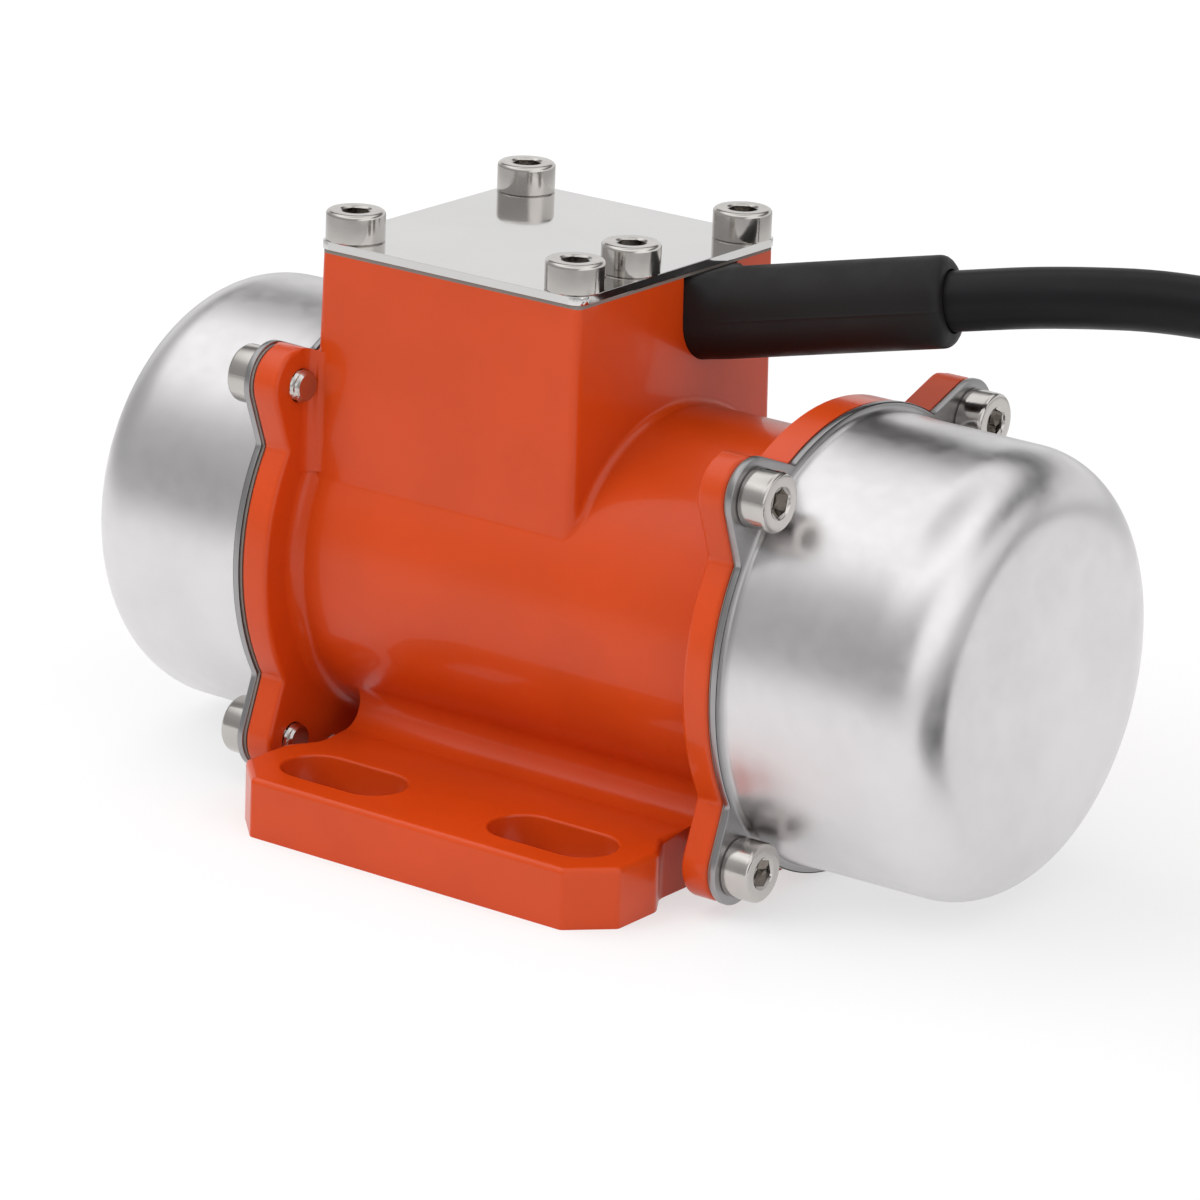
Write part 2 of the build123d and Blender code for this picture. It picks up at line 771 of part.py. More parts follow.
def make_supply_cores():
    """The lead's three cores, from the sheath's end into the terminal block's right side."""
    sheath_end = sleeve_line() @ 1 + (sleeve_line() % 1) * lead_inside
    drop = sheath_end.Z - wire_z
    cores = Part()
    for i, (way, turn) in enumerate(zip(terminal_ways(), (210, 330, 90))):
        side = math.cos(math.radians(turn)) * core_circle
        rise = math.sin(math.radians(turn)) * core_circle
        row = terminal_way_count - 1 - i
        x = terminal_right_x + core_radius + 2 * contact_gap + row * 2 * (core_radius + contact_gap)
        start = sheath_end + Vector(0, side, rise)
        corner = Vector(x, sheath_end.Y + 0.3 * side - core_radius, wire_z + drop / 2 + rise)
        foot_y = corner.Y - drop / 2 - core_circle
        end_x = terminal_right_x - core_insertion
        points = [start, corner, (x, foot_y, wire_z), (x, way, wire_z), (end_x, way, wire_z)]
        cores += wire_along(points)
    return cores


def make_earth_screw():
    """The earth screw on its boss on the box floor."""
    head = Cylinder(earth_head_radius, earth_head_height, align=BOTTOM)
    head -= Pos(0, 0, earth_head_height) * Box(3 * earth_head_radius, earth_slot, 2 * earth_slot)
    return Pos(earth_x, capacitor_y, cavity_floor + earth_boss_height) * head


def sleeve_line():
    """The sleeve's centre line, from its outer end to the box face: an arc that carries on the lead's line."""
    first_run = Vector(*lead_route[1]) - Vector(*lead_route[0])
    box_side = (box_face_x + sleeve_stand, sleeve_y, sleeve_z)
    return TangentArc(lead_route[0], box_side, tangent=-first_run)


def inner_line():
    """The lead's straight line inside the box wall, ending where the sleeve's arc starts."""
    arc = sleeve_line()
    return Line(arc @ 1 + (arc % 1) * lead_inside, arc @ 1)


def make_sleeve():
    """The rubber sleeve: a foot in the box wall's notch, and a round bent body out to the lead."""
    line = Wire([*inner_line().edges(), *sleeve_line().edges()])
    outer_line = Wire(sleeve_line().edges())
    body = sweep(outer_line.location_at(0) * Circle(sleeve_radius), path=outer_line)
    body = fillet(body.edges().filter_by(GeomType.CIRCLE).sort_by(Axis.X)[-1], sleeve_round)
    foot_in = box_face_x - box_wall - sleeve_inner_flange
    foot = across(sleeve_section(sleeve_radius - contact_gap), foot_in, box_face_x + sleeve_root)
    outer_rim = [e for e in foot.edges() if e.center().X > box_face_x + sleeve_root - contact_gap]
    foot = fillet(outer_rim, sleeve_root_round)
    return foot + body - sweep(line.location_at(0) * Circle(lead_radius + contact_gap), path=line)


def lead_path():
    """The lead's centre line, from inside the box to the coil: straight runs joined by large arcs."""
    points = [Vector(*p) for p in lead_route]
    radii = []
    for before, at, after in zip(points, points[1:], points[2:]):
        turn = math.radians((at - before).get_angle(after - at))
        shorter = min((at - before).length, (after - at).length)
        radii.append(0.45 * shorter / math.tan(turn / 2))
    print("lead arc radii", [round(r, 1) for r in radii])
    route = FilletPolyline(*points, radius=radii)
    return Wire([*inner_line().edges(), *sleeve_line().edges(), *route.edges()])


def make_lead():
    """The lead's uncoiled stretch."""
    path = lead_path()
    lead = sweep(path.location_at(0) * Circle(lead_radius), path=path)
    expected = math.pi * lead_radius**2 * path.length
    print("lead length", round(path.length, 1), "volume ratio", round(lead.volume / expected, 4))
    return lead


def around_coil(sketch, start, sweep_angle):
    """A sketch drawn as (radius, z), turned clockwise about the coil's centre from one angle."""
    ring = revolve(Plane.XZ * sketch, Axis.Z, revolution_arc=sweep_angle)
    return Pos(*coil_centre, 0) * Rot(0, 0, start - sweep_angle) * ring


def coil_place(angle):
    """A frame in the middle of the coil's bundle, at an angle about the coil's centre."""
    return Pos(*coil_centre, coil_bundle / 2) * Rot(0, 0, angle) * Pos(coil_middle_radius, 0, 0)


def make_coil():
    """The stored coil's outer shape, with the tie's groove and the stripped end's place on top."""
    section = Pos(coil_middle_radius, coil_bundle / 2) * RectangleRounded(coil_bundle, coil_bundle, coil_corner)
    top_outer = Pos(coil_middle_radius, tail_z) * Rectangle(coil_bundle, coil_bundle, align=(Align.MIN, Align.MIN))
    ring = around_coil(section, 0, 360)
    groove = tie_band(tie_thickness + contact_gap, tie_width + 2 * contact_gap, 2 * tie_thickness)
    return ring - groove - around_coil(top_outer, tail_angle, tail_space)


def tie_band(thickness, width, spare=0.0):
    """A band that wraps the coil's bundle, sunk into it by its own thickness."""
    outer = RectangleRounded(coil_bundle + 2 * spare, coil_bundle + 2 * spare, coil_corner + spare)
    opening = coil_bundle - 2 * thickness
    section = outer - RectangleRounded(opening, opening, coil_corner - thickness)
    return coil_place(tie_angle) * Rot(90, 0, 0) * extrude(section, width / 2, both=True)


def make_tie():
    """The flat tie round the coil."""
    return tie_band(tie_thickness, tie_width)


def tail_radii():
    """The three stripped cores' distances from the coil's centre."""
    middle = coil_middle_radius + coil_bundle / 4
    return [middle + i * tail_core_spread for i in (-1, 0, 1)]


def make_tail_cores():
    """The three insulated cores at the lead's free end, lying on the coil."""
    cores = Part()
    for radius in tail_radii():
        section = Pos(radius, tail_z + core_radius + contact_gap) * Circle(core_radius)
        cores += around_coil(section, tail_angle, tail_core_angle)
    return cores


def make_ferrules():
    """The crimped ferrules on the free cores."""
    ferrules = Part()
    for radius in tail_radii():
        section = Pos(radius, tail_z + core_radius + contact_gap) * Circle(ferrule_radius)
        ferrules += around_coil(section, tail_angle - tail_core_angle, ferrule_angle)
    return ferrules


pieces = {
    "housing": make_housing(),
    "cap_right": make_cap(),
    "cap_gasket_right": make_gasket(),
    "cap_screws_right": make_cap_screws(),
    "lid_plate": make_lid(),
    "lid_gasket": make_lid_gasket(),
    "lid_screws": make_lid_screws(),
    "bearing_shield_right": make_shield(),
    "shield_screws_right": make_shield_screws(),
    "outer_ring_right": make_bearing_ring(outer_shoulder, bearing_radius),
    "inner_ring_right": make_bearing_ring(journal_radius, inner_shoulder),
    "ball_set_right": make_balls(),
    "wave_washer": make_washer(),
    "shaft": make_shaft(),
    "rotor_core": make_rotor_core(),
    "rotor_end_rings": make_end_rings(),
    "stator_core": make_stator_core(),
    "stator_windings": make_windings(),
    "weight_spacer_right": make_spacer(),
    "weight_key_right": make_key(),
    "fixed_weight_right": make_fixed_weight(),
    "adjustable_weight_right": make_adjustable_weight(),
    "clamp_screw_right": make_clamp_screw(),
    "retaining_ring_right": make_retainer(),
    "run_capacitor": make_capacitor(),
    "terminal_block": make_terminal_block(),
    "terminal_screws": make_terminal_screws(),
    "winding_leads": make_winding_leads(),
    "supply_cores": make_supply_cores(),
    "earth_screw": make_earth_screw(),
    "cable_sleeve": make_sleeve(),
    "cable_lead": make_lead(),
    "cable_coil": make_coil(),
    "cable_tie": make_tie(),
    "tail_cores": make_tail_cores(),
    "tail_ferrules": make_ferrules(),
}
right_names = [name for name in pieces if name.endswith("_right")]
for name in right_names:
    pieces[name.replace("_right", "_left")] = left_of(pieces[name])
pieces["bearing_shield_left"] = left_of(make_shield(washer_thickness))

os.makedirs("parts", exist_ok=True)
for name, piece in pieces.items():
    export_step(piece, f"parts/{name}.step")
print(len(pieces), "nodes")
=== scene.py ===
"""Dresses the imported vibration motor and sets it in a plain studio.

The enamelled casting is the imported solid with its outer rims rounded. The drawn caps, socket screws,
rubber sleeve and supply lead are modelled here, and every other piece gets its own finish. Lengths are
metres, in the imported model's frame: X along the shaft, Z up, origin at the centre of the mounting face.
"""

from __future__ import annotations

import json
import logging
import math
from dataclasses import dataclass, field
from enum import Enum
from typing import Any, Sequence

import bmesh
import bpy
from mathutils import Matrix, Vector

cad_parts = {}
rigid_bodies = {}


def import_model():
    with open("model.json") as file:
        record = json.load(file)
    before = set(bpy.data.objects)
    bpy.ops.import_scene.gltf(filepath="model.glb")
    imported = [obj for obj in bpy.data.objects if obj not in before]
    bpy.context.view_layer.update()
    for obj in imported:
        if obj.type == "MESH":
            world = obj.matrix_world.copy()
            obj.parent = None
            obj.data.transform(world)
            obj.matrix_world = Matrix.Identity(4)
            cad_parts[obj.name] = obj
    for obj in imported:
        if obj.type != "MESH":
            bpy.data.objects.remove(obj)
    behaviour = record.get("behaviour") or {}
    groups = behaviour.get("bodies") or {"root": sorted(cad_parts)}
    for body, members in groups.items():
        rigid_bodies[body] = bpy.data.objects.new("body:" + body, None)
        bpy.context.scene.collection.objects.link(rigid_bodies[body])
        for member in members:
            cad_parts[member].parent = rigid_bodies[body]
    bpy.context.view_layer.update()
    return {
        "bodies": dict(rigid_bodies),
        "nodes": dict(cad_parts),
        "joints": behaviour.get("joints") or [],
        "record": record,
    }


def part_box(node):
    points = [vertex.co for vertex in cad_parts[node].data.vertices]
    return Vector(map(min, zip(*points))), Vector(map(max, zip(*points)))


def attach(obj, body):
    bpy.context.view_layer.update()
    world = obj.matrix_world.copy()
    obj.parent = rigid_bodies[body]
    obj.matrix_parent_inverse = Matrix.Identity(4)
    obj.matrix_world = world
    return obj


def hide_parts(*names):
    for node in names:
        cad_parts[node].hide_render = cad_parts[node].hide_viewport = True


LOG = logging.getLogger("vibration_motor")
MM = 0.001
AXIS_HEIGHT = 27.5 * MM
SCREW_OFFSET = 21.5 * MM
# Points nearer than these are joined: at the seams made here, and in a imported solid's loose triangles.
SEAM_GAP = 0.0005 * MM
WELD_GAP = 0.002 * MM
# Faces that turn by less are flat.
FLAT_ANGLE = math.radians(0.5)

Colour = tuple[float, float, float]
Point = tuple[float, float, float]


def in_mm(x: float, y: float, z: float) -> Point:
    """A point given in millimetres."""
    return (x * MM, y * MM, z * MM)


LEAD_EXIT = in_mm(7.85, 6.3, 59.2)
SLEEVE_BEND = in_mm(22.75, 8.53, 62.39)
SLEEVE_MOUTH = in_mm(36.9, 12.5, 65.0)
COIL_CENTRE = in_mm(145.3, -3.2, 0.0)


def ease(share: float) -> float:
    """A share kept between 0 and 1, with a soft start and end."""
    share = min(1.0, max(0.0, share))
    return share * share * (3 - 2 * share)


def srgb(red: int, green: int, blue: int) -> Colour:
    """Turns a colour read in display values, 0 to 255, into a linear one.

    Args:
        red: The red display value.
        green: The green display value.
        blue: The blue display value.

    Returns:
        The linear colour.
    """
    shares = (value / 255 for value in (red, green, blue))
    return tuple(s / 12.92 if s <= 0.04045 else ((s + 0.055) / 1.055) ** 2.4 for s in shares)


class Signal:
    """One socket of a node tree, with arithmetic that adds math nodes to the tree."""

    def __init__(self, tree: Tree, socket: bpy.types.NodeSocket) -> None:
        """Keeps the tree and the socket."""
        self.tree = tree
        self.socket = socket

    def math(self, operation: str, *others: Any, clamp: bool = False) -> Signal:
        """Adds one math node fed by this signal.

        Args:
            operation: The math node's operation.
            others: The further operands, as signals or numbers.
            clamp: Whether the result stays between 0 and 1.

        Returns:
            The node's result.
        """
        node = self.tree.add("ShaderNodeMath", operation=operation, use_clamp=clamp)
        for index, value in enumerate((self, *others)):
            self.tree.feed(node.inputs[index], value)
        return Signal(self.tree, node.outputs[0])

    def __add__(self, other: Any) -> Signal:
        """Adds."""
        return self.math("ADD", other)

    def __sub__(self, other: Any) -> Signal:
        """Subtracts."""
        return self.math("SUBTRACT", other)

    def __mul__(self, other: Any) -> Signal:
        """Multiplies."""
        return self.math("MULTIPLY", other)

    def __truediv__(self, other: Any) -> Signal:
        """Divides."""
        return self.math("DIVIDE", other)

    __radd__ = __add__
    __rmul__ = __mul__

    def __rsub__(self, other: float) -> Signal:
        """Subtracts this signal from a number."""
        return (self * -1.0) + other


class Tree:
    """A node tree, with short ways to add, feed and link its nodes."""

    def __init__(self, nodes: bpy.types.NodeTree) -> None:
        """Empties the tree that it is given."""
        self.nodes = nodes
        self.nodes.nodes.clear()

    def add(self, kind: str, **settings: Any) -> bpy.types.Node:
        """Adds a node.

        Args:
            kind: The node's type name.
            settings: Properties to set on the node.

        Returns:
            The new node.
        """
        node = self.nodes.nodes.new(kind)
        for name, value in settings.items():
            setattr(node, name, value)
        return node

    def feed(self, target: bpy.types.NodeSocket, value: Any) -> None:
        """Links a signal or a socket to a socket, or sets the socket's own value.

        Args:
            target: The socket to feed.
            value: A signal, a socket or a plain value.
        """
        if isinstance(value, Signal):
            value = value.socket
        if isinstance(value, bpy.types.NodeSocket):
            self.nodes.links.new(value, target)
        else:
            target.default_value = value

    def call(self, kind: str, feeds: dict[str | int, Any], output: str | int = 0, **settings: Any) -> Signal:
        """Adds a node and feeds its inputs.

        Args:
            kind: The node's type name.
            feeds: Values, sockets or signals by input name or index.
            output: The output to return, by name or index.
            settings: Properties to set on the node.

        Returns:
            The chosen output.
        """
        node = self.add(kind, **settings)
        for name, value in feeds.items():
            self.feed(node.inputs[name], value)
        return Signal(self, node.outputs[output])

    def split(self, vector: Any) -> list[Signal]:
        """The X, Y and Z of a vector.

        Args:
            vector: The vector, as a signal or a socket.

        Returns:
            The three signals.
        """
        node = self.add("ShaderNodeSeparateXYZ")
        self.feed(node.inputs[0], vector)
        return [Signal(self, output) for output in node.outputs]


class Surface(Tree):
    """A material's node tree, with the patterns that the finishes share."""

    def pattern(self, stretch: Point = (1.0, 1.0, 1.0), centre: Point = (0.0, 0.0, 0.0)) -> Signal:
        """Object coordinates, moved to a centre and stretched.

        Args:
            stretch: How far the pattern is drawn out along X, Y and Z.
            centre: The point that becomes the pattern's origin.

        Returns:
            The coordinates.
        """
        place = self.add("ShaderNodeTexCoord").outputs["Object"]
        scale = tuple(1 / value for value in stretch)
        shift = tuple(-c * s for c, s in zip(centre, scale))
        return self.call("ShaderNodeMapping", {"Vector": place, "Scale": scale, "Location": shift})

    def noise(self, place: Signal, size: float, detail: float = 3.0, rough: float = 0.5) -> Signal:
        """A noise pattern of about one cell per size.

        Args:
            place: The coordinates.
            size: The size of one cell, in metres.
            detail: How many finer layers lie on it.
            rough: How strong the finer layers are.

        Returns:
            The pattern, about 0 to 1.
        """
        feeds = {"Vector": place, "Scale": 1 / size, "Detail": detail, "Roughness": rough}
        return self.call("ShaderNodeTexNoise", feeds)

    def spread(
        self, signal: Signal, low: float, high: float, start: float = 0.3, end: float = 0.7
    ) -> Signal:
        """Maps a pattern to a range.

        Args:
            signal: The pattern.
            low: The value at the pattern's start.
            high: The value at its end.
            start: The pattern's value that gives low.
            end: The pattern's value that gives high.

        Returns:
            The mapped pattern.
        """
        feeds = {"Value": signal, "From Min": start, "From Max": end, "To Min": low, "To Max": high}
        return self.call("ShaderNodeMapRange", feeds, interpolation_type="SMOOTHSTEP")

    def blend(self, share: Signal, first: Colour | Signal, second: Colour | Signal) -> Signal:
        """Mixes two colours by a pattern.

        Args:
            share: The pattern, 0 for the first colour and 1 for the second.
            first: The first colour, plain or a signal.
            second: The second colour, plain or a signal.

        Returns:
            The mixed colour.
        """
        node = self.add("ShaderNodeMix", data_type="RGBA")
        self.feed(node.inputs["Factor"], share)
        for index, colour in ((6, first), (7, second)):
            self.feed(node.inputs[index], colour if isinstance(colour, Signal) else (*colour, 1.0))
        return Signal(self, node.outputs[2])


@dataclass(frozen=True)
class Finish:
    """What every finish has: its colour, how rough and metallic it is, and its fine grain.

    Attributes:
        name: The material's name.
        colour: The linear base colour.
        roughness: How blurred its reflections are.
        metallic: 1 for bare metal.
        tint: The share by which the colour varies over the surface.
        mottle: How far the roughness varies.
        grain: The size of the fine grain, in metres.
        relief: The grain's height, in metres.
        stretch: How far the grain is drawn out along X, Y and Z.
        coat: How strong a clear top coat is.
        coat_roughness: How blurred the coat's reflections are.
        specular: How strong the reflections of a surface that isn't metal are; 0.5 is common.
    """

    name: str
    colour: Colour
    roughness: float
    metallic: float = 0.0
    tint: float = 0.06
    mottle: float = 0.05
    grain: float = 0.8 * MM
    relief: float = 0.002 * MM
    stretch: Point = (1.0, 1.0, 1.0)
    coat: float = 0.0
    coat_roughness: float = 0.05
    specular: float = 0.5

    def colours(self, surface: Surface, place: Signal) -> Signal:
        """The base colour, lighter and darker by the tint in soft patches.

        Args:
            surface: The material's tree.
            place: The grain's coordinates.

        Returns:
            The colour.
        """
        darker = tuple(value * (1 - self.tint) for value in self.colour)
        lighter = tuple(value * (1 + self.tint) for value in self.colour)
        share = surface.spread(surface.noise(place, 12 * MM), 0.0, 1.0)
        return surface.blend(share, darker, lighter)

    def height(self, surface: Surface, place: Signal) -> Signal:
        """The grain's height as a pattern from 0 to 1."""
        return surface.noise(place, self.grain)

    def build(self) -> bpy.types.Material:
        """Makes the material.

        Returns:
            The material.
        """
        material = bpy.data.materials.new(self.name)
        material.use_nodes = True
        surface = Surface(material.node_tree)
        place = surface.pattern(self.stretch)
        grain = self.height(surface, place)
        uneven = surface.noise(place, 6 * self.grain, detail=4.0)
        roughness = surface.spread(uneven, self.roughness - self.mottle, self.roughness + self.mottle)
        bump = surface.call("ShaderNodeBump", {"Height": grain, "Distance": self.relief, "Strength": 1.0})
        feeds = {
            "Base Color": self.colours(surface, place),
            "Roughness": roughness,
            "Normal": bump,
            "Metallic": self.metallic,
            "Coat Weight": self.coat,
            "Coat Roughness": self.coat_roughness,
            "Specular IOR Level": self.specular,
        }
        shader = surface.call("ShaderNodeBsdfPrincipled", feeds)
        output = surface.add("ShaderNodeOutputMaterial")
        surface.feed(output.inputs["Surface"], shader)
        material.diffuse_color = (*self.colour, 1.0)
        return material


@dataclass(frozen=True)
class Enamel(Finish):
    """Thick glossy enamel over a casting: faint orange peel over a slow wave of the cast face.

    Attributes:
        wave: The size of the slow wave.
        peel: The share of the height that the fine peel has.
    """

    wave: float = 9 * MM
    peel: float = 0.12

    def height(self, surface: Surface, place: Signal) -> Signal:
        """A slow wave with fine peel on it.

        Args:
            surface: The material's tree.
            place: The grain's coordinates.

        Returns:
            The height as a pattern.
        """
        slow = surface.noise(place, self.wave, detail=1.0)
        fine = surface.noise(place, self.grain, detail=1.0)
        return slow * (1 - self.peel) + fine * self.peel


@dataclass(frozen=True)
class CapSteel(Finish):
    """Drawn stainless, bright on the cup, with painted shade on the flange that stands for the dark
    reflection the cup's own wall gives it.

    Attributes:
        flange_face: How far from the motor's middle the flange's face lies.
        flange_shade_share: The share of the cup's brightness that the painted shade leaves on the flange.
        fade: How far past the flange's face the painted shade fades out.
    """

    flange_face: float = 34.4 * MM
    flange_shade_share: float = 0.5
    fade: float = 1.0 * MM

    def colours(self, surface: Surface, place: Signal) -> Signal:
        """The steel's colour, darkened on the flange as painted shade.

        Args:
            surface: The material's tree.
            place: The grain's coordinates.

        Returns:
            The colour.
        """
        steel = super().colours(surface, place)
        # Painted shade: the flange's colour is darkened to stand for the dark reflection that the cup's wall
        # leaves on it.
        away = surface.split(surface.pattern())[0].math("ABSOLUTE")
        share = surface.spread(away, self.flange_shade_share, 1.0, self.flange_face, self.flange_face + self.fade)
        return surface.call("ShaderNodeVectorMath", {0: steel, "Scale": share}, operation="SCALE")


@dataclass(frozen=True)
class Laminated(Finish):
    """A stack of sheets along X, shown by lines between them.

    Attributes:
        line_gap: The distance between two lines.
        node_rate: The angle that the wave node runs through in one unit, at scale 1.
    """

    line_gap: float = math.pi * MM
    node_rate = 20.0

    def height(self, surface: Surface, place: Signal) -> Signal:
        """The lines as a wave along X."""
        feeds = {"Vector": place, "Scale": 2 * math.pi / (self.node_rate * self.line_gap)}
        return surface.call("ShaderNodeTexWave", feeds, wave_type="BANDS", bands_direction="X")


@dataclass(frozen=True)
class CoreColours(Finish):
    """Insulated cores in three colours, told apart by their distance from a centre.

    Attributes:
        centre: The point that the cores run round.
        first_edge: The distance at which the first colour ends.
        second_edge: The distance at which the second colour ends.
        second: The second colour.
        third: The third colour.
    """

    centre: Point = (0.0, 0.0, 0.0)
    first_edge: float = 0.0
    second_edge: float = 0.0
    second: Colour = (0.0, 0.0, 0.0)
    third: Colour = (0.0, 0.0, 0.0)

    def colours(self, surface: Surface, place: Signal) -> Signal:
        """The three colours by distance from the centre.

        Args:
            surface: The material's tree.
            place: The grain's coordinates.

        Returns:
            The colour.
        """
        x, y, _ = surface.split(surface.pattern(centre=self.centre))
        distance = (x * x + y * y).math("SQRT")
        inner = surface.blend(distance.math("GREATER_THAN", self.first_edge), self.colour, self.second)
        return surface.blend(distance.math("GREATER_THAN", self.second_edge), inner, self.third)


class FinishBook:
    """The finishes of the motor, by the record's slot, each built once."""

    def __init__(self) -> None:
        """Lists the finishes."""
        steel = srgb(214, 212, 210)
        self.finishes: dict[str, Finish] = {
            "enamel": Enamel(
                "orange_enamel", srgb(200, 67, 15), 0.32, tint=0.04, mottle=0.04, grain=1.1 * MM,
                relief=0.03 * MM, coat=0.25, coat_roughness=0.06, specular=0.22,
            ),
            "cap_steel": CapSteel(
                "drawn_stainless", srgb(221, 219, 220), 0.31, 1.0, tint=0.03, mottle=0.03, grain=0.35 * MM,
                relief=0.0015 * MM,
            ),
            "lid_steel": Finish(
                "polished_lid_steel", srgb(216, 215, 214), 0.07, 1.0, tint=0.02, mottle=0.02, grain=6 * MM,
                relief=0.004 * MM,
            ),
            "screw_steel": Finish(
                "screw_steel", srgb(196, 192, 188), 0.15, 1.0, tint=0.08, mottle=0.05, grain=0.3 * MM,
                relief=0.004 * MM,
            ),
            "gasket": Finish("gasket_sheet", srgb(128, 120, 114), 0.75, grain=0.2 * MM, relief=0.01 * MM),
            "sleeve_rubber": Finish(
                "sleeve_rubber", srgb(25, 23, 23), 0.52, tint=0.12, mottle=0.06, grain=0.5 * MM,
                relief=0.01 * MM, specular=0.25,
            ),
            "lead_sheath": Finish(
                "lead_sheath", srgb(20, 20, 22), 0.42, tint=0.1, mottle=0.05, grain=0.9 * MM,
                relief=0.012 * MM, specular=0.2,
            ),
            "shield_alloy": Finish(
                "turned_alloy", srgb(188, 190, 192), 0.34, 1.0, grain=0.25 * MM, relief=0.004 * MM,
                stretch=(0.3, 1.0, 1.0),
            ),
            "bearing_steel": Finish("bearing_steel", steel, 0.1, 1.0, grain=0.4 * MM, relief=0.001 * MM),
            "shaft_steel": Finish(
                "ground_shaft", srgb(196, 196, 198), 0.18, 1.0, grain=0.2 * MM, relief=0.003 * MM,
                stretch=(0.2, 1.0, 1.0),
            ),
            "core_steel": Laminated(
                "laminated_steel", srgb(120, 122, 126), 0.42, 1.0, tint=0.1, relief=0.03 * MM,
            ),
            "weight_steel": Finish(
                "zinc_plated_weight", srgb(178, 176, 160), 0.38, 1.0, tint=0.12, mottle=0.08,
                grain=0.5 * MM, relief=0.006 * MM,
            ),
            "copper": Finish(
                "enamelled_copper", srgb(176, 92, 40), 0.34, 0.9, tint=0.15, grain=0.45 * MM,
                relief=0.05 * MM, stretch=(6.0, 1.0, 1.0), coat=0.5,
            ),
            "brass": Finish("brass", srgb(214, 178, 96), 0.2, 1.0, grain=0.4 * MM, relief=0.004 * MM),
            "capacitor_case": Finish("capacitor_case", srgb(214, 212, 205), 0.45, grain=0.6 * MM),
            "terminal_plastic": Finish(
                "terminal_plastic", srgb(224, 222, 214), 0.5, grain=0.4 * MM, relief=0.004 * MM,
            ),
            "core_insulation": CoreColours(
                "core_insulation", srgb(96, 52, 30), 0.4, grain=0.5 * MM,
                centre=COIL_CENTRE, first_edge=37.8 * MM, second_edge=39.6 * MM,
                second=srgb(38, 84, 168), third=srgb(120, 168, 44),
            ),
            "tie_nylon": Finish("tie_nylon", srgb(30, 30, 32), 0.42, grain=0.7 * MM, relief=0.006 * MM),
            "ferrule_tin": Finish("ferrule_tin", srgb(200, 200, 202), 0.34, 1.0, grain=0.2 * MM),
        }
        self.made: dict[str, bpy.types.Material] = {}

    def __getitem__(self, slot: str) -> bpy.types.Material:
        """The material for a slot.

        Args:
            slot: The record's slot.

        Returns:
            Its material, built when first asked for.
        """
        if slot not in self.made:
            self.made[slot] = self.finishes[slot].build()
        return self.made[slot]


def new_object(name: str, mesh: bpy.types.ID) -> bpy.types.Object:
    """Puts a mesh or curve into the scene under a name.

    Args:
        name: The object's name.
        mesh: Its mesh, curve, camera or light.

    Returns:
        The object.
    """
    made = bpy.data.objects.new(name, mesh)
    bpy.context.scene.collection.objects.link(made)
    return made


def points_mesh(name: str, points: Sequence[Point]) -> bpy.types.Mesh:
    """A mesh of loose points, as a tree's start.

    Args:
        name: The mesh's name.
        points: The points.

    Returns:
        The mesh.
    """
    mesh = bpy.data.meshes.new(name)
    mesh.from_pydata(list(points), [], [])
    return mesh


def smooth(mesh: bpy.types.Mesh, sharp_over: float) -> None:
    """Shades a mesh smooth, with edges kept sharp where faces turn by more than an angle in degrees."""
    mesh.shade_smooth()
    mesh.set_sharp_from_angle(angle=math.radians(sharp_over))


def report(piece: bpy.types.Object) -> None:
    """Logs a finished piece and how many faces it has."""
    LOG.info("%s made, %d faces", piece.name, len(piece.data.polygons))


def sizes_of(owner: Any) -> dict[str, float]:
    """The sizes that a sub-assembly lists for its tree, by name."""
    return {name: float(getattr(owner, name)) for name in owner.SIZES}


